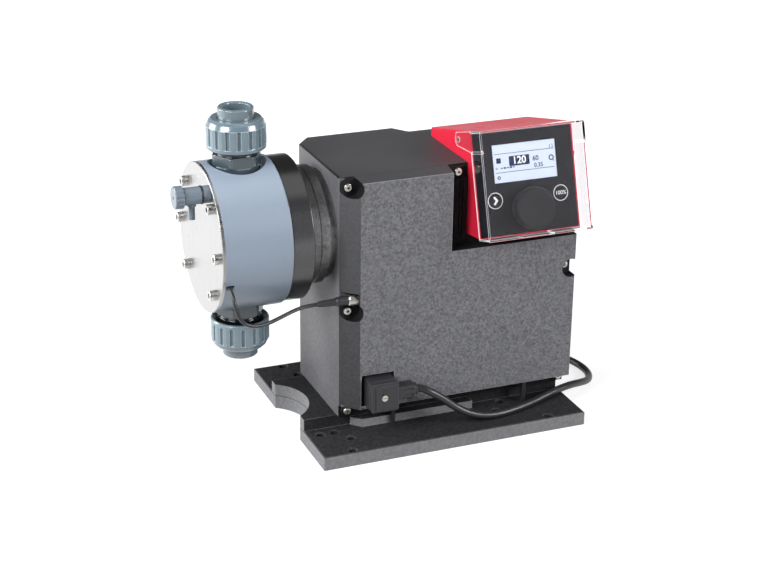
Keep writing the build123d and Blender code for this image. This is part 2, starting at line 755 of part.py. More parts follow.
def head_screws():
    screws = []
    shanks = bolt_circle(HEAD_SCREW_R, STEEL_FRONT, FLANGE_FRONT - 5.0)
    for angle, shank in zip(BOLT_ANGLES, shanks):
        y = AXIS_Y + BOLT_CIRCLE_R * math.cos(math.radians(angle))
        z = AXIS_HEIGHT + BOLT_CIRCLE_R * math.sin(math.radians(angle))
        head = Cylinder(HEAD_SCREW_HEAD_R, HEAD_SCREW_HEAD_H)
        head = chamfer(head.edges().sort_by(Axis.Z)[-1], 0.6)
        head -= Pos(0, 0, HEAD_SCREW_HEAD_H / 2 - HEX_DEPTH) * hexagon_bar(HEX_KEY, HEX_DEPTH + 1)
        head = Pos(STEEL_FRONT - HEAD_SCREW_HEAD_H / 2, y, z) * Rot(0, -90, 0) * head
        screws.append(head + shank)
    return screws


# Valves and unions are drawn about Z with the head's axis at z = 0 and stood up or hung down

def upper(solid):
    return Pos(UNION_X, AXIS_Y, AXIS_HEIGHT) * solid


def lower(solid):
    return Pos(UNION_X, AXIS_Y, AXIS_HEIGHT) * Rot(180, 0, 0) * solid


def valve_body(seat_from, seat_to, stop):
    """Hexagon body with its threaded neck, hollow for the seat and the ball."""
    foot = POCKET_FLOOR - VALVE_SPIGOT_DEPTH
    outline = [
        (CHANNEL_R, foot),
        (VALVE_SPIGOT_R - FIT_GAP, foot),
        (VALVE_SPIGOT_R - FIT_GAP, POCKET_FLOOR),
        (VALVE_COLLAR_R, POCKET_FLOOR),
        (VALVE_COLLAR_R, HEX_START),
        (THREAD_R - 1.4, HEX_START),
        (THREAD_R - 1.4, HEX_END + 2.0),
        (THREAD_R, HEX_END + 3.4),
        (THREAD_R, NECK_END),
        (ORING_MAJOR_R + ORING_MINOR_R, NECK_END),
        (ORING_MAJOR_R + ORING_MINOR_R, NECK_END - 2 * ORING_MINOR_R),
        (ORING_MAJOR_R - ORING_MINOR_R, NECK_END - 2 * ORING_MINOR_R),
        (ORING_MAJOR_R - ORING_MINOR_R, NECK_END),
        (CHANNEL_R, NECK_END),
    ]
    body = turned(outline)
    nut = Pos(0, 0, HEX_START) * hexagon_bar(HEX_FLATS, HEX_END - HEX_START)
    cap = Pos(0, 0, (HEX_START + HEX_END) / 2) * Cylinder(HEX_FLATS / 2 + 2.4, HEX_END - HEX_START)
    cap = chamfer(cap.edges().filter_by(GeomType.CIRCLE), 1.2)
    body += nut & cap
    body -= rod_z(0, 0, seat_from, seat_to, VALVE_BORE_R)
    body -= rod_z(0, 0, foot - 1, NECK_END + 1, CHANNEL_R)
    reach = VALVE_BORE_R - 1.0
    for angle in (0, 90):
        body -= Rot(0, 0, angle) * block(-reach, reach, -2.0, 2.0, stop - 4.0, stop + 4.0)
    return body


def seat_spans():
    """Where seat and ball room lie, from the head's axis outward, upper then lower."""
    foot = POCKET_FLOOR - VALVE_SPIGOT_DEPTH
    room = ball_centre() + BALL_R + BALL_LIFT + RUN_GAP
    return (foot, foot + room), (NECK_END - room, NECK_END)


def valve_seat(start, up):
    """A ring with a cone for the ball; the cone faces up the flow."""
    ring = [
        (SEAT_BORE_R, 0),
        (VALVE_BORE_R - FIT_GAP, 0),
        (VALVE_BORE_R - FIT_GAP, SEAT_THICK),
        (BALL_R, SEAT_THICK),
        (SEAT_BORE_R, SEAT_THICK - (BALL_R - SEAT_BORE_R)),
    ]
    solid = turned(ring)
    if not up:
        solid = Rot(180, 0, 0) * solid
    return Pos(0, 0, start) * solid


def ball_centre():
    """Height of a resting ball's centre above the underside of its seat."""
    lean = math.sqrt(0.5)
    return SEAT_THICK - BALL_R + (BALL_R + RUN_GAP) / lean


def union_nut():
    """Union nut: a plain ring at the open end, lobes round the middle, a sloped shoulder."""
    low = THREAD_R + RUN_GAP
    core_r = NUT_R - NUT_RIB_RISE
    lobe_end = NUT_END - NUT_SHOULDER
    bore = INSERT_R + RUN_GAP
    outline = [
        (NUT_MOUTH_R, NUT_START),
        (NUT_R - 1.2, NUT_START),
        (NUT_R, NUT_START + 1.2),
        (NUT_R, NUT_START + NUT_RING - 0.6),
        (core_r, NUT_START + NUT_RING),
        (core_r, lobe_end),
        (NUT_R - 0.4, lobe_end + 0.8),
        (NUT_R - 2.4, NUT_END - 2.2),
        (NUT_R - 4.6, NUT_END),
        (bore + 0.8, NUT_END),
        (bore, NUT_END - 0.8),
        (bore, NUT_END - NUT_LIP),
        (low, NUT_END - NUT_LIP),
        (low, NUT_START + NUT_MOUTH_DEPTH),
    ]
    body = turned(outline)
    lobe = nut_lobe(core_r - 0.8, NUT_START + NUT_RING - 1.0, lobe_end + 1.0)
    for index in range(NUT_RIBS):
        body += Rot(0, 0, index * 360.0 / NUT_RIBS) * lobe
    return body


def nut_lobe(root_r, low, high):
    """One grip lobe: flat in the middle with slanted flanks."""
    half = math.radians(180.0 / NUT_RIBS)
    spots = [(root_r, -0.84), (NUT_R - 0.2, -0.66), (NUT_R + 0.1, 0.0), (NUT_R - 0.2, 0.66), (root_r, 0.84)]
    points = [(r * math.cos(half * share), r * math.sin(half * share)) for r, share in spots]
    return prism_z(points, low, high)


def pipe_insert():
    flange_r = THREAD_R - 0.4
    seat = NECK_END
    stop = INSERT_END - PIPE_SOCKET_DEPTH
    lip = BALL_R + 0.7
    outline = [
        (lip, seat),
        (flange_r, seat),
        (flange_r, seat + INSERT_FLANGE_THICK),
        (INSERT_R, seat + INSERT_FLANGE_THICK),
        (INSERT_R, INSERT_END - 1.0),
        (INSERT_R - 1.0, INSERT_END),
        (PIPE_SOCKET_R + 1.0, INSERT_END),
        (PIPE_SOCKET_R, INSERT_END - 1.0),
        (PIPE_SOCKET_R, stop),
        (lip, stop),
    ]
    return turned(outline)


def union_o_ring():
    square = ORING_MINOR_R * 0.96
    ring = make_face(Pos(ORING_MAJOR_R, 0, NECK_END - ORING_MINOR_R) * Rot(90, 0, 0) * Circle(square).edge())
    return revolve(ring, Axis.Z)


# Deaeration valve

def deaeration_body():
    y = AXIS_Y + DEAER_Y
    z = AXIS_HEIGHT + DEAER_Z
    x0 = STEEL_FRONT - DEAER_LENGTH
    seal_x = STEEL_FRONT - DEAER_SEAL_AT
    groove = 1.1
    outline = [
        (0, HEAD_FRONT + 8.0),
        (DEAER_STEM_R - FIT_GAP, HEAD_FRONT + 8.0),
        (DEAER_STEM_R - FIT_GAP, HEAD_FRONT),
        (DEAER_STEM_R + 2.0, HEAD_FRONT),
        (DEAER_STEM_R + 2.0, STEEL_FRONT),
        (DEAER_R, STEEL_FRONT),
        (DEAER_R, seal_x + groove),
        (DEAER_R - groove, seal_x + groove),
        (DEAER_R - groove, seal_x - groove),
        (DEAER_R, seal_x - groove),
        (DEAER_R, x0 + 0.6),
        (DEAER_R - 0.6, x0),
        (0, x0),
    ]
    body = Pos(0, y, z) * Rot(0, 90, 0) * turned(outline)
    spigot_x = STEEL_FRONT - DEAER_SPIGOT_AT
    tip = z - DEAER_SPIGOT_LENGTH
    body += rod_z(spigot_x, y, tip, z - DEAER_R + 2.0, DEAER_SPIGOT_R)
    body += rod_z(spigot_x, y, z - DEAER_R - DEAER_COLLAR_DROP, z - DEAER_R + 2.0, DEAER_COLLAR_R)
    body -= rod_z(spigot_x, y, tip - 1, z - 2.0, 1.4)
    body -= rod_x(x0 - 1, spigot_x + 4.0, y, z, DEAER_STEM_R + FIT_GAP)
    return body


def deaeration_o_ring():
    seal_x = STEEL_FRONT - DEAER_SEAL_AT
    outline = [
        (DEAER_R - 1.1, -1.05),
        (DEAER_R + 0.1, -1.05),
        (DEAER_R + 0.5, 0),
        (DEAER_R + 0.1, 1.05),
        (DEAER_R - 1.1, 1.05),
    ]
    return Pos(seal_x, AXIS_Y + DEAER_Y, AXIS_HEIGHT + DEAER_Z) * Rot(0, 90, 0) * turned(outline)


def fluted_knob(radius, length, flutes, depth):
    """A knob about Z with flutes round its rim, its face at the top."""
    body = Cylinder(radius, length)
    body = chamfer(body.edges().sort_by(Axis.Z)[-1], 1.0)
    for index in range(flutes):
        angle = math.radians(index * 360.0 / flutes)
        out = radius + depth * 0.9
        flute = Cylinder(depth * 1.7, length)
        body -= Pos(out * math.cos(angle), out * math.sin(angle), -1.2) * flute
    return body


def deaeration_knob():
    y = AXIS_Y + DEAER_Y
    z = AXIS_HEIGHT + DEAER_Z
    x1 = STEEL_FRONT - DEAER_LENGTH - RUN_GAP
    x0 = x1 - DEAER_KNOB_LENGTH
    knob = fluted_knob(DEAER_KNOB_R, DEAER_KNOB_LENGTH, KNOB_FLUTES, 0.8)
    knob -= Pos(0, 0, DEAER_KNOB_LENGTH / 2) * Cylinder(1.6, 5.0)
    body = Pos((x0 + x1) / 2, y, z) * Rot(0, -90, 0) * knob
    return body + rod_x(x1 - 0.5, STEEL_FRONT - DEAER_SPIGOT_AT - 1.0, y, z, DEAER_STEM_R - FIT_GAP)


# Control cube

def case_outline(inset):
    """The case's side view: panel front, ramped roof, heel over the housing, back."""
    def place(w, n):
        y = PANEL_Y + w * math.sin(TILT) - n * math.cos(TILT)
        z = PANEL_Z + w * math.cos(TILT) + n * math.sin(TILT)
        return (y, z)
    low = place(-PANEL_RIM + inset, 0)
    high = place(PANEL_HEIGHT + PANEL_RIM - inset, 0)
    heel_y = SPLIT + CUBE_BACK_REACH
    return [
        low,
        high,
        (heel_y - inset, TOP + CUBE_BACK_RISE - inset),
        (heel_y - inset, TOP + inset),
        (SPLIT - inset, TOP + inset),
        (SPLIT - inset, CUBE_BASE + inset),
    ]


def cube_case():
    right = CUBE_LEFT + CUBE_WIDTH
    body = prism_x(case_outline(0), CUBE_LEFT, right)
    ridge = body.edges().filter_by(Axis.X).sort_by(Axis.Z)[-1]
    body = fillet(ridge, 0.9)
    hollow = prism_x(case_outline(CUBE_WALL), CUBE_LEFT + CUBE_WALL, right - CUBE_WALL)
    body -= hollow
    width = CUBE_WIDTH - 2 * PANEL_RIM
    body -= on_panel(block(-width / 2, width / 2, 0, PANEL_HEIGHT, -PANEL_THICK, 5.0))
    inner = width / 2 - 2.0
    body -= on_panel(block(-inner, inner, 2.0, PANEL_HEIGHT - 2.0, -PANEL_THICK - 4.0, 1.0))
    for off in ROOF_SLOT_PLACES:
        slot = SlotOverall(9.0, 2.6)
        cut = extrude(slot, amount=2.2)
        x = CUBE_MID + off
        y = SPLIT + ROOF_SLOT_BACK
        roof_lean = math.degrees(math.atan2(roof_height(0.0) - roof_height(1.0), 1.0))
        body -= Pos(x, y, roof_height(y - SPLIT) - 1.0) * Rot(-roof_lean, 0, 0) * cut
    for x0, x1 in ((CUBE_LEFT - 1, CUBE_LEFT + CUBE_WALL + 1), (right - CUBE_WALL - 1, right + 1)):
        mid = (x0 + x1) / 2 - CUBE_MID
        body -= on_panel(lid_axis(mid) * Cylinder(LID_PIN_R + FIT_GAP, x1 - x0))
    return body


def lid_axis(across):
    """Panel place on the lid's hinge axis, turned so that a cylinder lies along it."""
    return Pos(across, LID_PIVOT_W, LID_PIVOT_N) * Rot(0, 90, 0)


def roof_height(back):
    """Height of the case's roof at a distance behind the housing's split plane."""
    high = case_outline(0)[1]
    heel = case_outline(0)[2]
    share = (SPLIT + back - high[0]) / (heel[0] - high[0])
    return high[1] + share * (heel[1] - high[1])


def control_panel():
    width = CUBE_WIDTH - 2 * PANEL_RIM - 2 * FIT_GAP
    body = block(-width / 2, width / 2, FIT_GAP, PANEL_HEIGHT - FIT_GAP, -PANEL_THICK, 0)
    half = LCD_WIDTH / 2
    low = LCD_W - LCD_HEIGHT / 2
    body -= block(-half, half, low, low + LCD_HEIGHT, -PANEL_THICK - 1, 1)
    body -= Pos(0, WHEEL_W, 0) * Cylinder(SHAFT_R + 1.6, 3 * PANEL_THICK)
    for side in (-1, 1):
        body -= Pos(side * BUTTON_SPREAD, BUTTON_W, 0) * Cylinder(BUTTON_R + RUN_GAP, 3 * PANEL_THICK)
    return on_panel(body)


def lcd_window():
    gap = FIT_GAP
    w0 = LCD_W - LCD_HEIGHT / 2 + gap
    w1 = LCD_W + LCD_HEIGHT / 2 - gap
    x1 = LCD_WIDTH / 2 - gap
    glass = block(-x1, x1, w0, w1, -PANEL_THICK - 2.0, -LCD_SINK)
    return on_panel(glass)


def cube_circuit_board():
    """Board behind the panel with the display block and two switch bodies."""
    width = CUBE_WIDTH - 2 * PANEL_RIM - 8.0
    deep = -PANEL_THICK - BOARD_DEPTH
    body = block(-width / 2, width / 2, 4.0, PANEL_HEIGHT - 4.0, deep, deep + BOARD_THICK)
    w0 = LCD_W - LCD_HEIGHT / 2 - 2.0
    w1 = LCD_W + LCD_HEIGHT / 2 + 2.0
    x1 = LCD_WIDTH / 2 + 2.0
    body += block(-x1, x1, w0, w1, deep + BOARD_THICK, -PANEL_THICK - 2.0)
    for side in (-1, 1):
        top = BUTTON_RISE - BUTTON_THICK - BUTTON_TRAVEL - RUN_GAP
        switch = block(-3, 3, -3, 3, deep + BOARD_THICK, top)
        body += Pos(side * BUTTON_SPREAD, BUTTON_W, 0) * switch
    body -= Pos(0, WHEEL_W, deep) * Cylinder(SHAFT_R + 0.4, 6 * BOARD_THICK)
    return on_panel(body)


def rotary_encoder():
    """Encoder body on the board with its threaded sleeve through the panel."""
    deep = -PANEL_THICK - BOARD_DEPTH + BOARD_THICK
    body = Pos(0, WHEEL_W, 0) * block(-7, 7, -7, 7, deep, -PANEL_THICK)
    body += Pos(0, WHEEL_W, 0) * rod_z(0, 0, -PANEL_THICK, 2.0, SHAFT_R + 1.5)
    body -= Pos(0, WHEEL_W, 0) * rod_z(0, 0, deep - 1, 3.0, SHAFT_R + FIT_GAP)
    return on_panel(body)


def encoder_shaft():
    deep = -PANEL_THICK - BOARD_DEPTH + BOARD_THICK + PUSH_TRAVEL + RUN_GAP
    top = WHEEL_LIFT + WHEEL_HEIGHT - WHEEL_WALL - RUN_GAP
    return on_panel(Pos(0, WHEEL_W, 0) * rod_z(0, 0, deep, top, SHAFT_R))


def click_wheel():
    """Hollow wheel: wide cap, narrower skirt and a hub on the encoder's shaft."""
    z0 = WHEEL_LIFT
    z1 = WHEEL_LIFT + WHEEL_HEIGHT
    outline = [
        (WHEEL_BASE_R - WHEEL_WALL, z0),
        (WHEEL_BASE_R, z0),
        (WHEEL_BASE_R, z0 + 3.4),
        (WHEEL_R - 0.5, z0 + 4.6),
        (WHEEL_R, z0 + 6.0),
        (WHEEL_R, z1 - 2.2),
        (WHEEL_R - 0.7, z1 - 0.7),
        (WHEEL_R - 2.2, z1),
        (0, z1 - 0.5),
        (0, z1 - WHEEL_WALL),
        (SHAFT_R + FIT_GAP, z1 - WHEEL_WALL),
        (SHAFT_R + FIT_GAP, z0 + 3.0),
        (SHAFT_R + 3.0, z0 + 3.0),
        (SHAFT_R + 3.0, z1 - WHEEL_WALL),
        (WHEEL_BASE_R - WHEEL_WALL, z1 - WHEEL_WALL),
    ]
    return on_panel(Pos(0, WHEEL_W, 0) * turned(outline))


def panel_button(side):
    body = Cylinder(BUTTON_R, BUTTON_THICK)
    body = chamfer(body.edges().sort_by(Axis.Z)[-1], 0.4)
    return on_panel(Pos(side * BUTTON_SPREAD, BUTTON_W, BUTTON_RISE - BUTTON_THICK / 2) * body)


def clear_lid():
    x1 = CUBE_WIDTH / 2 + LID_GAP + LID_WALL
    w0 = -LID_UNDER
    w1 = PANEL_HEIGHT + LID_OVER
    n0 = 0.8
    shell = block(-x1, x1, w0, w1, n0, LID_DEPTH)
    shell = fillet(shell.edges().filter_by(Axis.Z), 1.2)
    shell -= block(-x1 + LID_WALL, x1 - LID_WALL, w0 + LID_WALL, w1 - LID_WALL, n0 - 1, LID_DEPTH - LID_WALL)
    # the notch lets the lower wall swing past the click wheel
    shell -= block(-LID_NOTCH_HALF, LID_NOTCH_HALF, w0 - 1, w0 + LID_WALL + 1, n0 - 1, LID_NOTCH_DEPTH)
    top = LID_PIVOT_W + LID_EAR_R * 0.75
    for side in (-1, 1):
        a = side * x1
        b = side * (x1 - LID_WALL)
        lo = min(a, b)
        arm = [
            (LID_EAR_FOOT_W, n0 + 3),
            (LID_EAR_FOOT_W, n0),
            (LID_PIVOT_W - 6.0, LID_PIVOT_N - 4.0),
            (top, LID_PIVOT_N - 4.0),
            (top, n0 + 3),
        ]
        face = make_face(Polyline(*[(lo, w, n) for w, n in arm], close=True))
        ear = extrude(face, amount=LID_WALL, dir=(1, 0, 0))
        ear += lid_axis(lo + LID_WALL / 2) * Cylinder(LID_EAR_R * 0.75, LID_WALL)
        shell += ear
        inner = side * (x1 - LID_WALL - 1.0)
        outer = side * (x1 - LID_WALL + 0.2)
        foot = LID_EAR_FOOT_W
        shell += block(inner, outer, foot - 1.0, foot + 1.0, n0 + 0.4, LID_DEPTH - 1)
        shell -= lid_axis(side * x1) * Cylinder(LID_PIN_R + 0.08, 6 * LID_WALL)
    return on_panel(shell)


def lid_hinge_pins():
    pins = []
    for side in (-1, 1):
        x0 = side * (CUBE_WIDTH / 2 - CUBE_WALL - 1.5)
        x1 = side * (CUBE_WIDTH / 2 + LID_GAP + LID_WALL)
        pin = lid_axis((x0 + x1) / 2) * Cylinder(LID_PIN_R, abs(x1 - x0))
        pins.append(on_panel(pin))
    return pins


# Mains inlet, plug and lead

def mains_socket():
    x0 = LEFT + INLET_X0 + 4.0
    x1 = LEFT + INLET_X0 + INLET_WIDTH - 4.0
    z0 = COVER_BASE + PLUG_Z0 + 2.0
    z1 = COVER_BASE + PLUG_Z0 + PLUG_HEIGHT - 2.0
    y = COVER_FRONT + INLET_DEPTH
    base = block(x0, x1, y - 2.0, y, z0, z1)
    mid_x = (x0 + x1) / 2
    mid_z = (z0 + z1) / 2
    for dz in (-9.0, 9.0):
        base += block(mid_x - 3.2, mid_x + 3.2, y - 9.0, y - 1.0, mid_z + dz - 0.4, mid_z + dz + 0.4)
    base += block(mid_x - 9.4, mid_x - 8.6, y - 9.0, y - 1.0, mid_z - 3.2, mid_z + 3.2)
    return base


def plug_box():
    """Corners of the plug's body: x0, x1, front y, back y, z0, z1."""
    x0 = LEFT + PLUG_FROM_LEFT
    y1 = COVER_FRONT + INLET_DEPTH - 3.2
    y0 = y1 - PLUG_DEPTH + 2.6
    z0 = COVER_BASE + PLUG_Z0
    return x0, x0 + PLUG_WIDTH, y0, y1, z0, z0 + PLUG_HEIGHT


def plug_gasket():
    x0, x1, y0, y1, z0, z1 = plug_box()
    back = COVER_FRONT + INLET_DEPTH - 2.0
    ring = block(x0 + 1, x1 - 1, y1, back, z0 + 1, z1 - 1)
    return ring - block(x0 + 3, x1 - 3, y1 - 1, back + 1, z0 + 3, z1 - 3)


def mains_plug():
    x0, x1, y0, y1, z0, z1 = plug_box()
    body = block(x0, x1, y0, y1, z0, z1)
    body = fillet(body.edges().filter_by(Axis.Y), 1.8)
    seam = y0 + PLUG_SEAM_AT
    shell = block(x0 - 1, x1 + 1, seam, seam + PLUG_SEAM, z0 - 1, z1 + 1)
    body -= shell - block(x0 + PLUG_SEAM, x1 - PLUG_SEAM, seam - 1, seam + 1, z0 + PLUG_SEAM, z1 - PLUG_SEAM)
    lid = block(x0 + 4.4, x1 - 0.6, y0 - 1.6, y0 + 1, z0 + 1.4, z1 - 3.4)
    lid = chamfer(lid.edges().group_by(Axis.Y)[0], 0.5)
    lid -= block(x0 + 4.4 + PLUG_STRIP, x1 + 1, y0 - 2, y0 - 0.6, z0 - 1, z1 + 1)
    body += lid
    gland_y = y0 + GLAND_Y
    gland_z = z0 + GLAND_Z
    body += gland(x1, gland_y, gland_z)
    body -= rod_x(x1 + GLAND_LENGTH - 6.0, x1 + GLAND_LENGTH + 1, gland_y, gland_z, LEAD_R + FIT_GAP)
    hole = ((x0 + x1) / 2 - 1.0, (z0 + z1) / 2)
    body -= rod_y(hole[0], y0 - 2, y1 + 1, hole[1], 1.6)
    body -= rod_y(hole[0], y0 - 2, y0 + 0.6, hole[1], 3.4)
    y = COVER_FRONT + INLET_DEPTH
    mid_x = LEFT + INLET_X0 + INLET_WIDTH / 2
    mid_z = COVER_BASE + PLUG_Z0 + PLUG_HEIGHT / 2
    for dz in (-9.0, 9.0):
        body -= block(mid_x - 3.6, mid_x + 3.6, y - 10.0, y, mid_z + dz - 0.8, mid_z + dz + 0.8)
    body -= block(mid_x - 9.8, mid_x - 8.2, y - 10.0, y, mid_z - 3.6, mid_z + 3.6)
    return body


def gland(x, y, z):
    """The lead's squared gland: a collar, a nut with long grooves and a round tip."""
    far = x + GLAND_LENGTH
    body = block(x - 1, x + 4.0, y - GLAND_HALF, y + GLAND_HALF, z - GLAND_HALF, z + GLAND_HALF)
    half = GLAND_HALF
    nut = block(x + 3.0, far - GLAND_TIP, y - half, y + half, z - half + 0.6, z + half - 0.6)
    nut = chamfer(nut.edges().filter_by(Axis.X), 1.6)
    body += nut
    for side in (-1, 1):
        for lean in (-1, 1):
            z0 = z + lean * 2.9 - GLAND_GROOVE
            y0 = y + side * GLAND_HALF - 1.2
            body -= block(x + 6.0, far - GLAND_TIP - 2.0, y0, y0 + 2.4, z0, z0 + 2 * GLAND_GROOVE)
    tip = rod_x(far - GLAND_TIP - 1, far, y, z, GLAND_R)
    return body + chamfer(tip.edges().filter_by(GeomType.CIRCLE).sort_by(Axis.X)[-1], 0.8)


def plug_screw():
    x0, x1, y0, y1, z0, z1 = plug_box()
    x = (x0 + x1) / 2 - 1.0
    z = (z0 + z1) / 2
    head = rod_y(x, y0 - 1.8, y0 + 0.6, z, 3.1)
    head -= block(x - 4, x + 4, y0 - 2, y0 - 0.9, z - 0.4, z + 0.4)
    return head + rod_y(x, y0 + 0.6, y1 - 1.0, z, 1.5)


def cord_tube(points, radius, label):
    """A cord as straight runs joined by arcs as large as the runs allow."""
    vectors = [Vector(*p) for p in points]
    radii = []
    for before, here, after in zip(vectors, vectors[1:], vectors[2:]):
        turn = math.radians((here - before).get_angle(after - here))
        run = min((here - before).length, (after - here).length)
        radii.append(0.45 * run / math.tan(turn / 2))
    path = FilletPolyline(*vectors, radius=radii)
    profile = Plane(origin=path @ 0, z_dir=path % 0) * Circle(radius)
    tube = sweep(profile, path=path)
    print(label, "arc radii", [round(r, 1) for r in radii])
    full = math.pi * radius ** 2 * path.length
    print(label, "length", round(path.length, 1), "volume share", round(tube.volume / full, 4))
    return tube


def tail_height():
    """The lead leaves the coil on its upper layer."""
    return 3 * LEAD_R + LEAD_FLOOR


def plug_axis_height():
    """The plug lies on its side, and the cord rises to it."""
    return LEAD_PLUG_R + LEAD_FLOOR


def coil_inner_r():
    return COIL_MEAN_R - 2 * LEAD_R


def mains_cable():
    points = lead_points()
    tube = cord_tube(points, LEAD_R, "mains cable")
    y = COIL_Y + COIL_MEAN_R + LEAD_R
    start, bend, rise, end = [COIL_X - step for step in LEAD_TAIL_STEPS]
    low = tail_height()
    high = plug_axis_height()
    tail = cord_tube([(start, y, low), (bend, y, low), (rise, y, high), (end, y, high)], LEAD_R, "lead tail")
    return [tube - coil_disc(), tail - coil_disc() - lead_plug()]


def lead_points():
    """The lead's route, starting where the plug's gland puts it."""
    x0, x1, y0, y1, z0, z1 = plug_box()
    start = (x1 + GLAND_LENGTH - 5.9, y0 + GLAND_Y, z0 + GLAND_Z)
    straight = (x1 + GLAND_LENGTH + 4.0, y0 + GLAND_Y, z0 + GLAND_Z)
    return [start, straight] + LEAD_ROUTE


def coil_disc():
    outer = COIL_MEAN_R + 2 * LEAD_R
    tall = COIL_TOP - LEAD_FLOOR
    return Pos(COIL_X, COIL_Y, LEAD_FLOOR + tall / 2) * Cylinder(outer, tall)


def mains_cable_coil():
    ring = coil_disc()
    ring -= rod_z(COIL_X, COIL_Y, -1, COIL_TOP + 1, coil_inner_r())
    return ring


def lead_plug():
    """Two pin mains plug with a tapered neck, lying behind the coil."""
    x = COIL_X - LEAD_TAIL_STEPS[-1] + 1.0
    y = COIL_Y + COIL_MEAN_R + LEAD_R
    neck = [
        (LEAD_R + 0.3, 0),
        (LEAD_R + 2.6, LEAD_PLUG_NECK),
        (9.0, LEAD_PLUG_NECK + 4),
        (LEAD_PLUG_R - 2.5, LEAD_PLUG_NECK + 10),
    ]
    end = LEAD_PLUG_NECK + LEAD_PLUG_LENGTH
    grip = [
        (LEAD_PLUG_R, LEAD_PLUG_NECK + 16),
        (LEAD_PLUG_R, end - 1),
        (LEAD_PLUG_R - 1, end),
        (0, end),
    ]
    outline = [(0, 0)] + neck + grip
    body = turned(outline)
    for side in (-0.5, 0.5):
        body += Pos(side * PIN_SPACING, 0, end + PIN_LENGTH / 2 - 0.5) * Cylinder(EARTH_PIN_R, PIN_LENGTH)
    return Pos(x, y, plug_axis_height()) * Rot(0, -90, 0) * body


# Sensor line

def sensor_socket():
    """Threaded socket that stands out of the cover's well."""
    x0 = SENSOR_SOCKET_X - 5.0
    x1 = SENSOR_SOCKET_X + COVER_WALL
    body = rod_x(x0, x1, SENSOR_Y, SENSOR_Z, SENSOR_NUT_R - 1.4)
    body += rod_x(SENSOR_SOCKET_X - 1.0, SENSOR_SOCKET_X, SENSOR_Y, SENSOR_Z, SENSOR_NUT_R + 0.4)
    return body - rod_x(x0 - 1, x0 + 4.5, SENSOR_Y, SENSOR_Z, 2.6)


def nut_x():
    """The two ends of the sensor nut along X."""
    x1 = SENSOR_SOCKET_X - 1.0 - RUN_GAP
    return x1 - SENSOR_NUT_LENGTH, x1


def sensor_nut():
    x0, x1 = nut_x()
    knob = fluted_knob(SENSOR_NUT_R, SENSOR_NUT_LENGTH, 12, 0.3)
    body = Pos((x0 + x1) / 2, SENSOR_Y, SENSOR_Z) * Rot(0, -90, 0) * knob
    body -= rod_x(x0 + 2.6, x1 + 1, SENSOR_Y, SENSOR_Z, SENSOR_NUT_R - 1.4 + 0.1)
    return body - rod_x(x0 - 1, x1, SENSOR_Y, SENSOR_Z, 2.4 + 0.1)


def sensor_connector():
    x0, x1 = nut_x()
    body_x = x0 - RUN_GAP
    end = body_x - SENSOR_BODY_LENGTH
    tip = end - SENSOR_RELIEF_LENGTH
    outline = [
        (0, SENSOR_SOCKET_X - 2.0),
        (2.4, SENSOR_SOCKET_X - 2.0),
        (2.4, body_x),
        (SENSOR_R, body_x),
        (SENSOR_R, end + 1.0),
        (SENSOR_R - 1.0, end),
        (SENSOR_CORD_R + 0.9, tip),
        (0, tip),
    ]
    return Pos(0, SENSOR_Y, SENSOR_Z) * Rot(0, 90, 0) * turned(outline)


def sensor_cable():
    x0, x1 = nut_x()
    tip = x0 - RUN_GAP - SENSOR_BODY_LENGTH - SENSOR_RELIEF_LENGTH
    points = SENSOR_ROUTE[:-1] + [(tip, SENSOR_Y, SENSOR_Z)]
    return cord_tube(points, SENSOR_CORD_R, "sensor cable")


# Drive inside the housing

def spur_gear(teeth, bore_r):
    """A straight toothed gear about Z, 0 to GEAR_WIDTH, with a tooth on +X."""
    m = GEAR_MODULE
    pitch_r = m * teeth / 2
    half = m * math.pi / 4 - GEAR_BACKLASH / 2
    lean = math.tan(math.radians(20))
    levels = [
        (pitch_r - 1.2 * m, half + 1.0 * m * lean),
        (pitch_r, half),
        (pitch_r + 0.95 * m, half - 0.95 * m * lean),
    ]
    points = []
    for tooth in range(teeth):
        mid = 2 * math.pi * tooth / teeth
        for r, s in levels:
            points.append((r, mid - s / r))
        for r, s in reversed(levels):
            points.append((r, mid + s / r))
    outline = [(r * math.cos(a), r * math.sin(a)) for r, a in points]
    return prism_z(outline, 0, GEAR_WIDTH) - rod_z(0, 0, -1, GEAR_WIDTH + 1, bore_r)


def drive_frame():
    """Bracket on the housing's left wall: two cheeks for the shaft, one for the motor."""
    x0 = LEFT + HOUSING_WALL
    x1 = ECC_X + FRAME_PAST_SHAFT
    y0 = AXIS_Y - FRAME_HALF_GAP
    y1 = AXIS_Y + FRAME_HALF_GAP
    z0 = MOTOR_Z - FRAME_BELOW_MOTOR
    z1 = AXIS_HEIGHT + FRAME_ABOVE
    foot = block(x0, x0 + 5.0, y0 - FRAME_WALL, y1 + FRAME_WALL, z0, z1)
    near = block(x0, x1, y0 - FRAME_WALL, y0, AXIS_HEIGHT - 20.0, z1)
    far = block(x0, x1, y1, y1 + FRAME_WALL, z0, z1)
    far = chamfer(far.edges().filter_by(Axis.Y).sort_by(Axis.X)[-2:], 12.0)
    body = foot + near + far
    body -= rod_x(x0 - 1, x0 + 6.0, AXIS_Y, AXIS_HEIGHT, TAPPET_R + BUSH_WALL + FIT_GAP)
    body -= rod_y(ECC_X, y0 - FRAME_WALL - 1, y1 + FRAME_WALL + 1, AXIS_HEIGHT, BEARING_R + FIT_GAP)
    body -= rod_y(ECC_X, y1 - 1, y1 + FRAME_WALL + 1, MOTOR_Z, 12.0)
    return body


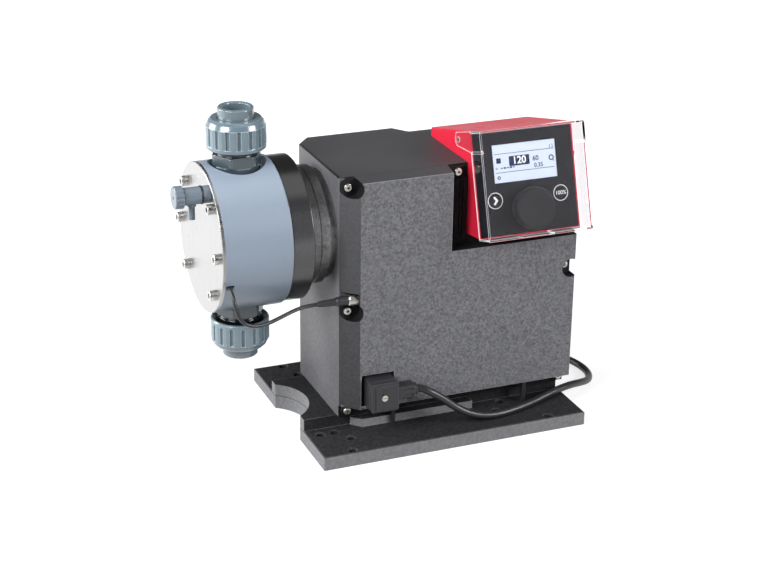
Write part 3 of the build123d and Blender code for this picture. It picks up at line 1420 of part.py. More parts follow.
def stepper_motor():
    y1 = AXIS_Y + FRAME_HALF_GAP
    y0 = y1 - MOTOR_LENGTH
    h = MOTOR_SIZE / 2
    body = block(ECC_X - h, ECC_X + h, y0, y1, MOTOR_Z - h, MOTOR_Z + h)
    body = chamfer(body.edges().filter_by(Axis.Y), 6.0)
    body += rod_y(ECC_X, y1 - 1, y1 + FRAME_WALL, MOTOR_Z, 11.9)
    return body - rod_y(ECC_X, y0 + 6.0, y1 + FRAME_WALL + 1, MOTOR_Z, MOTOR_SHAFT_R + 0.4)


def motor_pinion():
    y1 = AXIS_Y + FRAME_HALF_GAP
    gear = Rot(0, 0, 180.0 / PINION_TEETH + pinion_turn()) * spur_gear(PINION_TEETH, MOTOR_SHAFT_R * 0.5)
    gear = Pos(ECC_X, GEAR_Y0, MOTOR_Z) * Rot(-90, 0, 0) * gear
    return gear + rod_y(ECC_X, y1 - MOTOR_LENGTH + 8.0, GEAR_Y0 + GEAR_WIDTH, MOTOR_Z, MOTOR_SHAFT_R)


def pinion_turn():
    """Turns the pinion so that a gap meets the big gear's tooth on their centre line."""
    return 90.0


def drive_gear():
    gear = Rot(0, 0, 90.0) * spur_gear(GEAR_TEETH, MAIN_SHAFT_R)
    gear = Pos(ECC_X, GEAR_Y0, AXIS_HEIGHT) * Rot(-90, 0, 0) * gear
    for index in range(5):
        angle = math.radians(72 * index + 36)
        r = GEAR_MODULE * GEAR_TEETH * 0.3
        x = ECC_X + r * math.cos(angle)
        z = AXIS_HEIGHT + r * math.sin(angle)
        gear -= rod_y(x, GEAR_Y0 - 1, GEAR_Y0 + GEAR_WIDTH + 1, z, 8.0)
    return gear


def eccentric_shaft():
    y0 = AXIS_Y - FRAME_HALF_GAP - FRAME_WALL
    y1 = GEAR_Y0 + GEAR_WIDTH + 1.0
    body = rod_y(ECC_X, y0, y1, AXIS_HEIGHT, MAIN_SHAFT_R)
    half = YOKE_THICK / 2 + 1.0
    body += rod_y(ECC_X, AXIS_Y - half, AXIS_Y + half, AXIS_HEIGHT + ECCENTRICITY, ECCENTRIC_R)
    return body


def shaft_bearings():
    bearings = []
    for side in (-1, 1):
        y0 = AXIS_Y + side * FRAME_HALF_GAP
        y1 = AXIS_Y + side * (FRAME_HALF_GAP + FRAME_WALL)
        ring = rod_y(ECC_X, y0, y1, AXIS_HEIGHT, BEARING_R)
        bearings.append(ring - rod_y(ECC_X, y0 - 5, y1 + 5, AXIS_HEIGHT, MAIN_SHAFT_R + FIT_GAP))
    return bearings


def tappet():
    """Rod with a closed yoke round the eccentric."""
    room_x = ECCENTRIC_R + YOKE_CLEAR
    room_z = ECCENTRIC_R + ECCENTRICITY + YOKE_CLEAR
    y0 = AXIS_Y - YOKE_THICK / 2
    y1 = AXIS_Y + YOKE_THICK / 2
    out_x = room_x + YOKE_WALL
    out_z = room_z + YOKE_WALL
    body = block(ECC_X - out_x, ECC_X + out_x, y0, y1, AXIS_HEIGHT - out_z, AXIS_HEIGHT + out_z)
    body = fillet(body.edges().filter_by(Axis.Y), 5.0)
    body -= block(ECC_X - room_x, ECC_X + room_x, y0 - 1, y1 + 1, AXIS_HEIGHT - room_z, AXIS_HEIGHT + room_z)
    body += rod_x(core_back(), ECC_X - out_x + 1.0, AXIS_Y, AXIS_HEIGHT, TAPPET_R)
    return body


def core_back():
    """Back face of the diaphragm's core, where the tappet meets it."""
    return RING_FRONT - DIAPHRAGM_RIM_THICK / 2 + CORE_THICK / 2


def tappet_bush():
    x0 = LEFT - FLANGE_WEB - 3.0
    x1 = x0 + BUSH_LENGTH
    bore = TAPPET_R + FIT_GAP
    sleeve = TAPPET_R + BUSH_WALL
    web = LEFT - FLANGE_WEB
    outline = [
        (bore, x0),
        (sleeve + 3.0, x0),
        (sleeve + 3.0, web),
        (sleeve, web),
        (sleeve, x1),
        (bore, x1),
    ]
    return turned_x(outline)


def diaphragm_core():
    back = core_back()
    front = back - CORE_THICK
    outline = [
        (0, back),
        (CORE_R, back),
        (CORE_R, front + 1.5),
        (CORE_R - 6.0, front - 0.6),
        (0, front - 1.6),
    ]
    return turned_x(outline)


def diaphragm():
    """Membrane with one rolled wave between the clamped rim and the core."""
    back = RING_FRONT
    front = RING_FRONT - DIAPHRAGM_RIM_THICK
    thick = 1.2
    mid = (back + front) / 2
    inner = CORE_R + SOFT_GAP
    wave = (inner + CHAMBER_R) / 2
    outline = [
        (DIAPHRAGM_RIM_R - FIT_GAP, back),
        (DIAPHRAGM_RIM_R - FIT_GAP, front),
        (CHAMBER_R, front),
        (CHAMBER_R - 1.0, mid - thick / 2),
        (wave, mid - thick / 2 + 1.4),
        (inner, mid - thick / 2),
        (inner, mid + thick / 2),
        (wave, mid + thick / 2 + 1.4),
        (CHAMBER_R - 0.4, mid + thick / 2),
        (CHAMBER_R + 2.0, back),
    ]
    return turned_x(outline)


def safety_diaphragm():
    x0 = FLANGE_FRONT
    x1 = FLANGE_FRONT + SAFETY_THICK
    inner = TAPPET_R + SOFT_GAP
    mid = (inner + FLANGE_BORE_R) / 2
    outline = [
        (inner, x0),
        (mid - 5.0, x0),
        (mid, x0 + 4.0),
        (mid + 5.0, x0),
        (SAFETY_RIM_R - FIT_GAP, x0),
        (SAFETY_RIM_R - FIT_GAP, x1),
        (mid + 4.0, x1),
        (mid, x1 + 3.4),
        (mid - 4.0, x1),
        (inner, x1),
    ]
    return turned_x(outline)


def main_circuit_board():
    """Power board on short pillars on the housing's back wall."""
    y = AXIS_Y + HOUSING_BACK_NARROW - HOUSING_WALL
    x0 = LEFT + HOUSING_STEP_AT + HOUSING_STEP_RUN + BOARD_INSET
    x1 = RIGHT - HOUSING_WALL - BOARD_INSET
    z0 = BASE + HOUSING_WALL + BOARD_INSET
    z1 = CUTOUT_Z - BOARD_INSET
    face = y - BOARD_PILLAR
    body = block(x0, x1, face - BOARD_THICK, face, z0, z1)
    for x in (x0 + 6.0, x1 - 6.0):
        for z in (z0 + 6.0, z1 - 6.0):
            body += rod_y(x, face, y, z, 3.0)
    third = (x1 - x0) / 3
    supply = z0 + SUPPLY_UP
    body += block(x0 + 12, x0 + 12 + third, face - SUPPLY_DEPTH, face, supply, supply + SUPPLY_TALL)
    for index in range(3):
        x = x0 + SUPPLY_UP + 2.0 + CAPACITOR_PITCH * index
        body += rod_y(x, face - CAPACITOR_LENGTH, face, z0 + CAPACITOR_UP, CAPACITOR_R)
    return body


def valve_pieces():
    """Seats, balls and bodies of both valves, in place."""
    room_top, room_low = seat_spans()
    top_seat = room_top[0]
    low_seat = room_low[1]
    centre = ball_centre()
    upper_body = upper(valve_body(room_top[0] - 1, room_top[1], room_top[1]))
    lower_body = lower(valve_body(room_low[0], room_low[1] + 1, room_low[0]))
    seats = [upper(valve_seat(top_seat, True)), lower(valve_seat(low_seat, False))]
    upper_ball = upper(Pos(0, 0, top_seat + centre) * Sphere(BALL_R))
    lower_ball = lower(Pos(0, 0, low_seat - centre) * Sphere(BALL_R))
    print("ball room above", round(room_top[1] - top_seat - centre - BALL_R, 2), "lift", BALL_LIFT)
    return upper_body, lower_body, seats, upper_ball, lower_ball


def main():
    os.makedirs("parts", exist_ok=True)
    upper_body, lower_body, seats, upper_ball, lower_ball = valve_pieces()
    save("mounting_plate", mounting_plate())
    save("locking_posts", locking_posts())
    save("rear_housing", rear_housing())
    save("front_cover", front_cover())
    save("cover_screws", cover_screws())
    save("drive_flange", drive_flange())
    save("drain_ring", drain_ring())
    save("dosing_head", dosing_head())
    save("head_front_plate", head_front_plate())
    save("head_screws", head_screws())
    save("discharge_valve_body", upper_body)
    save("suction_valve_body", lower_body)
    save("valve_seats", seats)
    save("discharge_ball", upper_ball)
    save("suction_ball", lower_ball)
    save("union_o_rings", [upper(union_o_ring()), lower(union_o_ring())])
    save("discharge_union_nut", upper(union_nut()))
    save("suction_union_nut", lower(union_nut()))
    save("discharge_insert", upper(pipe_insert()))
    save("suction_insert", lower(pipe_insert()))
    save("deaeration_body", deaeration_body())
    save("deaeration_o_ring", deaeration_o_ring())
    save("deaeration_knob", deaeration_knob())
    save("cube_case", cube_case())
    save("control_panel", control_panel())
    save("lcd_window", lcd_window())
    save("cube_circuit_board", cube_circuit_board())
    save("rotary_encoder", rotary_encoder())
    save("encoder_shaft", encoder_shaft())
    save("click_wheel", click_wheel())
    save("start_stop_button", panel_button(-1))
    save("full_rate_button", panel_button(1))
    save("clear_lid", clear_lid())
    save("lid_hinge_pins", lid_hinge_pins())
    save("mains_socket", mains_socket())
    save("plug_gasket", plug_gasket())
    save("mains_plug", mains_plug())
    save("plug_screw", plug_screw())
    save("mains_cable", mains_cable())
    save("mains_cable_coil", mains_cable_coil())
    save("lead_plug", lead_plug())
    save("sensor_socket", sensor_socket())
    save("sensor_nut", sensor_nut())
    save("sensor_connector", sensor_connector())
    save("sensor_cable", sensor_cable())
    save("drive_frame", drive_frame())
    save("stepper_motor", stepper_motor())
    save("motor_pinion", motor_pinion())
    save("drive_gear", drive_gear())
    save("eccentric_shaft", eccentric_shaft())
    save("shaft_bearings", shaft_bearings())
    save("tappet", tappet())
    save("tappet_bush", tappet_bush())
    save("diaphragm_core", diaphragm_core())
    save("diaphragm", diaphragm())
    save("safety_diaphragm", safety_diaphragm())
    save("main_circuit_board", main_circuit_board())


main()
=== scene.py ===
# %% [markdown]
# # A motor driven metering pump
#
# The pump was modelled in a CAD program, and its solids come in as a fixed
# frame. This file dresses them: it gives every surface its finish, winds the
# two cords, lights the display and sets up the studio. Nothing that came from
# CAD is moved, so every joint of the frame still works afterwards.

# %% Load the frame
import bpy
import math
from mathutils import Matrix, Vector


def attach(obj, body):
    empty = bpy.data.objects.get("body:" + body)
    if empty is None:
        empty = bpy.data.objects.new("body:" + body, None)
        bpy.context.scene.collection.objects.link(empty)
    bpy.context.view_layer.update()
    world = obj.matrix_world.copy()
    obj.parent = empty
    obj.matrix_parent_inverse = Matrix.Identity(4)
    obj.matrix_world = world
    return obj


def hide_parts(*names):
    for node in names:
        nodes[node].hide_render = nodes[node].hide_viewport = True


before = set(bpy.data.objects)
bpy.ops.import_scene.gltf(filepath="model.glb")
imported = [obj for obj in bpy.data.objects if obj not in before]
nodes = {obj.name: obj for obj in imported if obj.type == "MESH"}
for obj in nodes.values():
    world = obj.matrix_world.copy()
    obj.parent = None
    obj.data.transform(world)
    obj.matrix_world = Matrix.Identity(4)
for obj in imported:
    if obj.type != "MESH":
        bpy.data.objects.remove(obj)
scene = bpy.context.scene
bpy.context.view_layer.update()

# %% [markdown]
# ## Working in millimetres
#
# The scene is in metres, but a pump's drawing is in millimetres, so the sizes
# and places of pieces are written in millimetres and turned into metres in one
# place. Where a size can be read off a CAD piece, it is: the box of the piece
# gives its corners and its middle.

# %% Millimetres
MM = 0.001


def mm(*values):
    """A point in millimetres as a vector in metres."""
    return Vector([value * MM for value in values])


def box_of(name):
    """The low and the high corner of a CAD piece, in millimetres."""
    corners = [nodes[name].matrix_world @ Vector(corner) for corner in nodes[name].bound_box]
    low = [round(min(corner[axis] for corner in corners) / MM, 2) for axis in range(3)]
    high = [round(max(corner[axis] for corner in corners) / MM, 2) for axis in range(3)]
    return low, high


def middle_of(name):
    """The middle of a CAD piece, in millimetres."""
    low, high = box_of(name)
    return [round((first + last) / 2.0, 2) for first, last in zip(low, high)]


print("middle of the dosing head", middle_of("dosing_head"))

# %% [markdown]
# ## The camera
#
# The photograph was taken from the left and a little above, from far away with
# a long lens, so the parallel edges of the housing hardly converge. A camera
# is best described as a photographer would: where it stands, how far it is
# turned, how far it looks down, how much it leans and how long its lens is.

# %% Camera
CAMERA_PLACE = mm(-657.6, -1512.8, 809.9)
CAMERA_TURN = math.radians(-22.33)
CAMERA_DOWN = math.radians(22.52)
CAMERA_LEAN = math.radians(0.73)
FOCAL_PIXELS = 1786.4
PICTURE_WIDTH = 768
SENSOR_WIDTH = 36.0
NEAREST = 0.05
FARTHEST = 50.0

back = Vector((math.sin(CAMERA_TURN) * math.cos(CAMERA_DOWN),
               -math.cos(CAMERA_TURN) * math.cos(CAMERA_DOWN),
               math.sin(CAMERA_DOWN)))
right = Vector((math.cos(CAMERA_TURN), math.sin(CAMERA_TURN), 0.0))
up = back.cross(right)
lean_right = right * math.cos(CAMERA_LEAN) + up * math.sin(CAMERA_LEAN)
lean_up = up * math.cos(CAMERA_LEAN) - right * math.sin(CAMERA_LEAN)
camera = bpy.data.objects.new("camera", bpy.data.cameras.new("camera"))
scene.collection.objects.link(camera)
camera.matrix_world = Matrix((
    (lean_right.x, lean_up.x, back.x, CAMERA_PLACE.x),
    (lean_right.y, lean_up.y, back.y, CAMERA_PLACE.y),
    (lean_right.z, lean_up.z, back.z, CAMERA_PLACE.z),
    (0.0, 0.0, 0.0, 1.0),
))
camera.data.sensor_width = SENSOR_WIDTH
camera.data.sensor_fit = "HORIZONTAL"
camera.data.lens = FOCAL_PIXELS * SENSOR_WIDTH / PICTURE_WIDTH
camera.data.clip_start = NEAREST
camera.data.clip_end = FARTHEST
scene.camera = camera
scene.view_settings.view_transform = "Standard"
print("lens", round(camera.data.lens, 2), "mm")

# %% [markdown]
# ## Node trees without the clicking
#
# A material is a graph. These helpers add a node with its settings, join two
# sockets, do sums and mix colours, so that a finish below reads like a recipe.

# %% Node helpers


def add(tree, kind, **settings):
    """Adds a node and sets its properties."""
    node = tree.nodes.new(kind)
    for name, value in settings.items():
        setattr(node, name, value)
    return node


def join(tree, source, target):
    """Joins an output socket to an input socket."""
    tree.links.new(source, target)


def calc(tree, operation, first, second=None, clamp=False):
    """A math node; each side is a socket or a number."""
    node = add(tree, "ShaderNodeMath", operation=operation, use_clamp=clamp)
    for index, side in enumerate((first, second)):
        if side is None:
            continue
        if isinstance(side, (int, float)):
            node.inputs[index].default_value = side
        else:
            join(tree, side, node.inputs[index])
    return node.outputs[0]


def blend_colours(tree, share, first, second):
    """Mixes two colours by a mask; each is a socket or a colour."""
    node = add(tree, "ShaderNodeMix", data_type="RGBA")
    join(tree, share, node.inputs[0])
    for index, side in ((6, first), (7, second)):
        if isinstance(side, (tuple, list)):
            node.inputs[index].default_value = (*side, 1.0)
        else:
            join(tree, side, node.inputs[index])
    return node.outputs[2]


def stretch(tree, value, low, high, to_low=0.0, to_high=1.0):
    """Spreads a range of values over another."""
    node = add(tree, "ShaderNodeMapRange", clamp=True)
    join(tree, value, node.inputs["Value"])
    node.inputs["From Min"].default_value = low
    node.inputs["From Max"].default_value = high
    node.inputs["To Min"].default_value = to_low
    node.inputs["To Max"].default_value = to_high
    return node.outputs["Result"]


print("node helpers ready, materials so far", len(bpy.data.materials))

# %% [markdown]
# An effect that several finishes share is best built once, as a shader node
# group with named inputs and outputs, and placed in each material with that
# material's own values.

# %% Node groups


def new_group(name, numbers, results):
    """A shader node group with named number inputs and named results."""
    group = bpy.data.node_groups.new(name, "ShaderNodeTree")
    for label, value in numbers.items():
        socket = group.interface.new_socket(
            name=label, in_out="INPUT", socket_type="NodeSocketFloat")
        socket.default_value = value
    for label in results:
        kind = "NodeSocketVector" if label == "Normal" else "NodeSocketFloat"
        group.interface.new_socket(name=label, in_out="OUTPUT", socket_type=kind)
    start = add(group, "NodeGroupInput")
    end = add(group, "NodeGroupOutput")
    return group, start, end


def use_group(tree, group, **numbers):
    """Places a group in a material with its own values."""
    node = add(tree, "ShaderNodeGroup", node_tree=group)
    for label, value in numbers.items():
        node.inputs[label.replace("_", " ")].default_value = value
    return node


print("groups so far", len(bpy.data.node_groups))

# %% [markdown]
# ## Moulded grain
#
# The housing, the cover and the plate come out of moulds with an eroded, sandy
# surface. Close up it is a fine bump; from further away the eye sees soft pale
# and dark blotches two or three millimetres wide. One group gives both: a
# height for the bump, and a tone for the colour. A third result is a wide, slow
# change. All of it is measured in metres of the object itself, so the grain is
# as fine on a screw as on the housing.

# %% Group: moulded grain
NOISE_ROUGHNESS = 0.62
GRAIN_LAYERS = [
    ("Grain", "Height", 3.0, (0.25, 0.75)),
    ("Blotch", "Tone", 4.0, (0.32, 0.68)),
]
PATCHES_PER_METRE = 14.0
PATCH_DETAIL = 2.0
PATCH_RANGE = (0.3, 0.7)

moulded_grain, start, end = new_group(
    "Moulded grain", {"Grain": 0.0006, "Blotch": 0.0026}, ["Height", "Tone", "Patch"])
place = add(moulded_grain, "ShaderNodeTexCoord").outputs["Object"]
for label, result, detail, noise_range in GRAIN_LAYERS:
    noise = add(moulded_grain, "ShaderNodeTexNoise")
    noise.inputs["Detail"].default_value = detail
    noise.inputs["Roughness"].default_value = NOISE_ROUGHNESS
    join(moulded_grain, place, noise.inputs["Vector"])
    per_metre = calc(moulded_grain, "DIVIDE", 1.0, start.outputs[label])
    join(moulded_grain, per_metre, noise.inputs["Scale"])
    spread = stretch(moulded_grain, noise.outputs["Fac"], *noise_range)
    join(moulded_grain, spread, end.inputs[result])
wide = add(moulded_grain, "ShaderNodeTexNoise")
wide.inputs["Scale"].default_value = PATCHES_PER_METRE
wide.inputs["Detail"].default_value = PATCH_DETAIL
join(moulded_grain, place, wide.inputs["Vector"])
join(moulded_grain, stretch(moulded_grain, wide.outputs["Fac"], *PATCH_RANGE), end.inputs["Patch"])
print("group", moulded_grain.name, "nodes", len(moulded_grain.nodes))

# %% [markdown]
# ## Rubbed and lit edges
#
# Handling polishes the edges of a dark plastic until they look paler, and a moulded edge is never
# quite sharp. The Bevel node bends the surface normal near an edge. That normal makes the edge
# look round and catch the light, and how far it differs from the true normal is a mask of the
# edges. The finishes paint their edges paler through this mask, partly as wear and partly as a
# painted highlight. Neither needs extra geometry.

# %% Group: rubbed and lit edge
BEVEL_SAMPLES = 6
BENT_RANGE = (0.99, 0.80)

rubbed_and_lit_edge, start, end = new_group("Rubbed and lit edge", {"Reach": 0.0008}, ["Mask", "Normal"])
bevel = add(rubbed_and_lit_edge, "ShaderNodeBevel", samples=BEVEL_SAMPLES)
join(rubbed_and_lit_edge, start.outputs["Reach"], bevel.inputs["Radius"])
turn = add(rubbed_and_lit_edge, "ShaderNodeVectorMath", operation="DOT_PRODUCT")
join(rubbed_and_lit_edge, bevel.outputs["Normal"], turn.inputs[0])
join(rubbed_and_lit_edge, add(rubbed_and_lit_edge, "ShaderNodeNewGeometry").outputs["Normal"], turn.inputs[1])
join(rubbed_and_lit_edge, stretch(rubbed_and_lit_edge, turn.outputs["Value"], *BENT_RANGE), end.inputs["Mask"])
join(rubbed_and_lit_edge, bevel.outputs["Normal"], end.inputs["Normal"])
print("group", rubbed_and_lit_edge.name, "nodes", len(rubbed_and_lit_edge.nodes))

# %% [markdown]
# ## Tool marks
#
# Turned and brushed metal carries fine parallel lines. Noise that is squeezed
# along one axis and drawn out along the others gives such lines. The group is
# given how much to squeeze along each axis.

# %% Group: tool marks
AXES = ("Along X", "Along Y", "Along Z")
LINE_DETAIL = 4.0
LINE_RANGE = (0.35, 0.65)

tool_marks, start, end = new_group(
    "Tool marks", dict(zip(AXES, (60.0, 60.0, 2500.0))), ["Height", "Tone"])
place = add(tool_marks, "ShaderNodeTexCoord").outputs["Object"]
squeeze = add(tool_marks, "ShaderNodeCombineXYZ")
for index, label in enumerate(AXES):
    join(tool_marks, start.outputs[label], squeeze.inputs[index])
drawn = add(tool_marks, "ShaderNodeVectorMath", operation="MULTIPLY")
join(tool_marks, place, drawn.inputs[0])
join(tool_marks, squeeze.outputs[0], drawn.inputs[1])
lines = add(tool_marks, "ShaderNodeTexNoise")
lines.inputs["Scale"].default_value = 1.0
lines.inputs["Detail"].default_value = LINE_DETAIL
join(tool_marks, drawn.outputs[0], lines.inputs["Vector"])
join(tool_marks, lines.outputs["Fac"], end.inputs["Height"])
join(tool_marks, stretch(tool_marks, lines.outputs["Fac"], *LINE_RANGE), end.inputs["Tone"])
print("groups", [group.name for group in bpy.data.node_groups])

# %% [markdown]
# ## Finishes
#
# Every finish starts from one Principled shader. What is the same all over is
# set on the shader's own socket; only what changes over the surface, such as
# blotches, edges and bumps, arrives through a link.

# %% A bare finish
BUMP_HEIGHT = 0.0004


def bare_finish(name, colour, rough, **extras):
    """A material with one Principled shader and its constant values."""
    material = bpy.data.materials.new(name)
    material.use_nodes = True
    tree = material.node_tree
    shader = tree.nodes["Principled BSDF"]
    shader.inputs["Base Color"].default_value = (*colour, 1.0)
    shader.inputs["Roughness"].default_value = rough
    for label, value in extras.items():
        shader.inputs[label.replace("_", " ")].default_value = value
    return material, tree, shader


def shade(colour, factor):
    """A colour made darker or lighter."""
    return tuple(min(1.0, part * factor) for part in colour)


def bump_from(tree, shader, height, depth, distance=BUMP_HEIGHT, rounded=None):
    """Feeds a height into the shader's normal, over a rounded normal if there is one."""
    bump = add(tree, "ShaderNodeBump")
    if rounded is not None:
        join(tree, rounded, bump.inputs["Normal"])
    bump.inputs["Strength"].default_value = depth
    bump.inputs["Distance"].default_value = distance
    join(tree, height, bump.inputs["Height"])
    join(tree, bump.outputs["Normal"], shader.inputs["Normal"])


print("a middle grey made darker", shade((0.5, 0.5, 0.5), 0.5))

# %% [markdown]
# A moulded plastic takes its colour in three steps: blotches of a darker and a lighter tone, a
# wide slow change from part to part of the surface, and paler edges, partly rubbed and partly a
# painted highlight. The roughness follows the same patches, so reflections break up. Grain is the
# width of the sand in metres, depth the strength of its bump, contrast how far the blotches
# differ, and edge how pale the rubbed and lit edges are.

# %% Moulded plastic
BLOTCH_PER_GRAIN = 2.8
BLOTCH_SHARE = 0.5
PATCH_SHARE = 0.22
PATCH_TONE = 0.8
RUB_AND_LIGHT_SHARE = 0.85
ROUGH_LESS = 0.02
ROUGH_MORE = 0.03


def moulded(name, colour, rough, grain, depth, contrast, edge=1.6, reach=0.0008, darker=None,
            **extras):
    """Plastic with an eroded mould surface and edges painted paler as wear and highlight; darker
    adds painted light and shade by zones.
    """
    material, tree, shader = bare_finish(name, colour, rough, **extras)
    surface = use_group(tree, moulded_grain, Grain=grain, Blotch=grain * BLOTCH_PER_GRAIN)
    speck = calc(tree, "MULTIPLY", surface.outputs["Height"], 1.0 - BLOTCH_SHARE)
    blotch = calc(tree, "MULTIPLY", surface.outputs["Tone"], BLOTCH_SHARE)
    mixed = calc(tree, "ADD", blotch, speck, clamp=True)
    body = blend_colours(tree, mixed, shade(colour, 1.0 - contrast), shade(colour, 1.0 + contrast))
    slow = calc(tree, "MULTIPLY", surface.outputs["Patch"], PATCH_SHARE)
    patch = blend_colours(tree, slow, body, shade(colour, PATCH_TONE))
    # The edges are painted paler: partly wear, partly a painted highlight.
    rim = use_group(tree, rubbed_and_lit_edge, Reach=reach)
    worn_and_lit = calc(tree, "MULTIPLY", rim.outputs["Mask"], RUB_AND_LIGHT_SHARE)
    finished = blend_colours(tree, worn_and_lit, patch, shade(colour, edge))
    if darker is not None:
        finished = darker(tree, finished, colour)
    join(tree, finished, shader.inputs["Base Color"])
    dullness = stretch(tree, surface.outputs["Patch"], 0.0, 1.0,
                       rough - ROUGH_LESS, rough + ROUGH_MORE)
    join(tree, dullness, shader.inputs["Roughness"])
    bump_from(tree, shader, surface.outputs["Height"], depth, rounded=rim.outputs["Normal"])
    return material


print("blotches of a 0.9 mm grain are", 0.9 * BLOTCH_PER_GRAIN, "mm wide")

# %% [markdown]
# ## Zones
#
# Some pieces get painted shade in places, and some painted light: where light falls less or more
# on them, and where hardly any light gets in. A zone is a mask made from the object's own
# coordinates and from the way its surface faces, so a mesh needs no second material.

# %% Finding a zone
ZONE_EDGE = 0.2


def object_place(tree):
    """The object's own coordinates as three sockets, in metres."""
    spot = add(tree, "ShaderNodeSeparateXYZ")
    join(tree, add(tree, "ShaderNodeTexCoord").outputs["Object"], spot.inputs[0])
    return spot.outputs


def facing_of(tree):
    """The way the surface faces, as three sockets."""
    facing = add(tree, "ShaderNodeSeparateXYZ")
    join(tree, add(tree, "ShaderNodeTexCoord").outputs["Normal"], facing.inputs[0])
    return facing.outputs


def above(tree, value, limit):
    """1 where a coordinate is more than a limit in millimetres, else 0."""
    return stretch(tree, value, (limit - ZONE_EDGE) * MM, limit * MM)


def below(tree, value, limit):
    """1 where a coordinate is less than a limit in millimetres, else 0."""
    return stretch(tree, value, (limit + ZONE_EDGE) * MM, limit * MM)


def both_of(tree, first, second):
    """Where two zones overlap."""
    return calc(tree, "MULTIPLY", first, second)


def either_of(tree, first, second):
    """Two zones together."""
    return calc(tree, "MAXIMUM", first, second)


def reach_from(tree, first, second, centre):
    """How far a place is from a centre, seen along the third axis."""
    aside = calc(tree, "SUBTRACT", first, centre[0] * MM)
    up_by = calc(tree, "SUBTRACT", second, centre[1] * MM)
    squares = calc(tree, "ADD", both_of(tree, aside, aside), both_of(tree, up_by, up_by))
    return calc(tree, "SQRT", squares)


def tone_by_height(tree, z, span, colour, tones):
    """A colour that goes from one tone to another over a span of heights."""
    height = stretch(tree, z, span[0] * MM, span[1] * MM)
    return blend_colours(tree, height, shade(colour, tones[0]), shade(colour, tones[1]))


print("zones have soft edges of", ZONE_EDGE, "mm")

# %% [markdown]
# On the housing and its cover, painted shade darkens the roof and the slanted corner, and the left
# side is painted lighter in its middle and darker towards the plate, as painted light and shade.
# The recess round the control cube, the wells of the screws and of the sensor socket, and the wall
# below the cover are painted black as painted shade.

# %% Zones of the housing
RECESS_LEFT = 5.0
RECESS_FLOOR = 190.4
RECESS_BACK = -52.6
COVER_FOOT = 38.1
SCREW_WELLS = [(-94.8, 263.4), (-94.8, 139.5), (134.6, 155.5)]
WELL_REACH = 9.7
WELL_FRONT = -53.6
SOCKET_WELL = (-88.9, 145.0, 158.8)
# The tones below paint shade on the housing, and light on the middle of its left side.
RECESS_TONE = 0.10
ROOF_FACING = (0.80, 0.97)
ROOF_TONE = 0.42
BEVEL_FACING = (0.30, 0.60)
BEVEL_TONE = 0.12
SLANT_FACING = (0.25, 0.45)
SLANT_SPAN = (40.0, 260.0)
SLANT_TONES = (0.17, 0.53)
SLANT_DEPTH = 0.8
LEFT_FACING = (0.80, 0.95)
LEFT_SPAN = (40.0, 120.0)
LEFT_TONES = (0.50, 1.22)
LEFT_DEPTH = 0.45


def shaded_parts(tree, x, y, z):
    """A mask of the painted shade in the recess, on the wall below the cover and in the wells."""
    recess = both_of(tree, above(tree, x, RECESS_LEFT), above(tree, z, RECESS_FLOOR))
    dark = either_of(tree, recess, below(tree, z, COVER_FOOT))
    dark = both_of(tree, dark, below(tree, y, RECESS_BACK))
    wells = both_of(tree, below(tree, x, SOCKET_WELL[0]), above(tree, z, SOCKET_WELL[1]))
    wells = both_of(tree, wells, below(tree, z, SOCKET_WELL[2]))
    for centre in SCREW_WELLS:
        well = below(tree, reach_from(tree, x, z, centre), WELL_REACH)
        wells = either_of(tree, wells, well)
    return either_of(tree, dark, both_of(tree, wells, below(tree, y, WELL_FRONT)))


def housing_zones(tree, body, colour):
    """Paints shade on the roof, the slanted corner, the foot of the left side, the recess, the
    wall below the cover and the wells, and light on the middle of the left side.
    """
    x, y, z = object_place(tree)
    to_side, to_back, upward = facing_of(tree)
    bevel = stretch(tree, upward, *BEVEL_FACING)
    roof = stretch(tree, upward, *ROOF_FACING)
    slant = stretch(tree, both_of(tree, to_side, to_back), *SLANT_FACING)
    slant_tone = tone_by_height(tree, z, SLANT_SPAN, colour, SLANT_TONES)
    left = stretch(tree, calc(tree, "MULTIPLY", to_side, -1.0), *LEFT_FACING)
    left_tone = tone_by_height(tree, z, LEFT_SPAN, colour, LEFT_TONES)
    dark = shaded_parts(tree, x, y, z)
    # Painted light and shade on the left side, on the slanted corner, on the roof's edge and roof,
    # then painted shade in the recess and wells.
    body = blend_colours(tree, calc(tree, "MULTIPLY", left, LEFT_DEPTH), body, left_tone)
    body = blend_colours(tree, calc(tree, "MULTIPLY", slant, SLANT_DEPTH), body, slant_tone)
    body = blend_colours(tree, bevel, body, shade(colour, BEVEL_TONE))
    body = blend_colours(tree, roof, body, shade(colour, ROOF_TONE))
    return blend_colours(tree, dark, body, shade(colour, RECESS_TONE))


print("screw wells", len(SCREW_WELLS))

# %% [markdown]
# The head, its valves and the barrels behind it share one axis across the pump. The barrels get
# painted shade above and below it, the head is painted a little paler above and darker below as
# painted light and shade, and the threads of the valves, in the gap under the nuts, are painted
# black as painted shade, as far from the axis upwards as downwards. The mouths and the grooves of
# the union nuts get painted shade.

# %% Zones round the head
HEAD_AXIS = middle_of("dosing_head")[1:]
UNION_AXIS_X = middle_of("discharge_valve_body")[0]
# The tones below are painted shade, and the head's tint is painted light above and shade below.
THREADS_FROM = 80.4
THREAD_TONE = 0.08
BARREL_LIFT = 8.0
BARREL_SPAN = (4.0, 58.0)
BARREL_TONE = 0.08
HEAD_REACH = 75.0
HEAD_TINT = 0.42
HEAD_DEPTH = 1.6
NUT_MOUTH = 25.8
NUT_GROOVE = 27.2
NUT_RIBBED = (77.0, 108.0)
NUT_SHOULDER = 95.0
GROOVE_DEPTH = 0.6
GROOVE_TONE = 0.45
MOUTH_TONE = 0.15


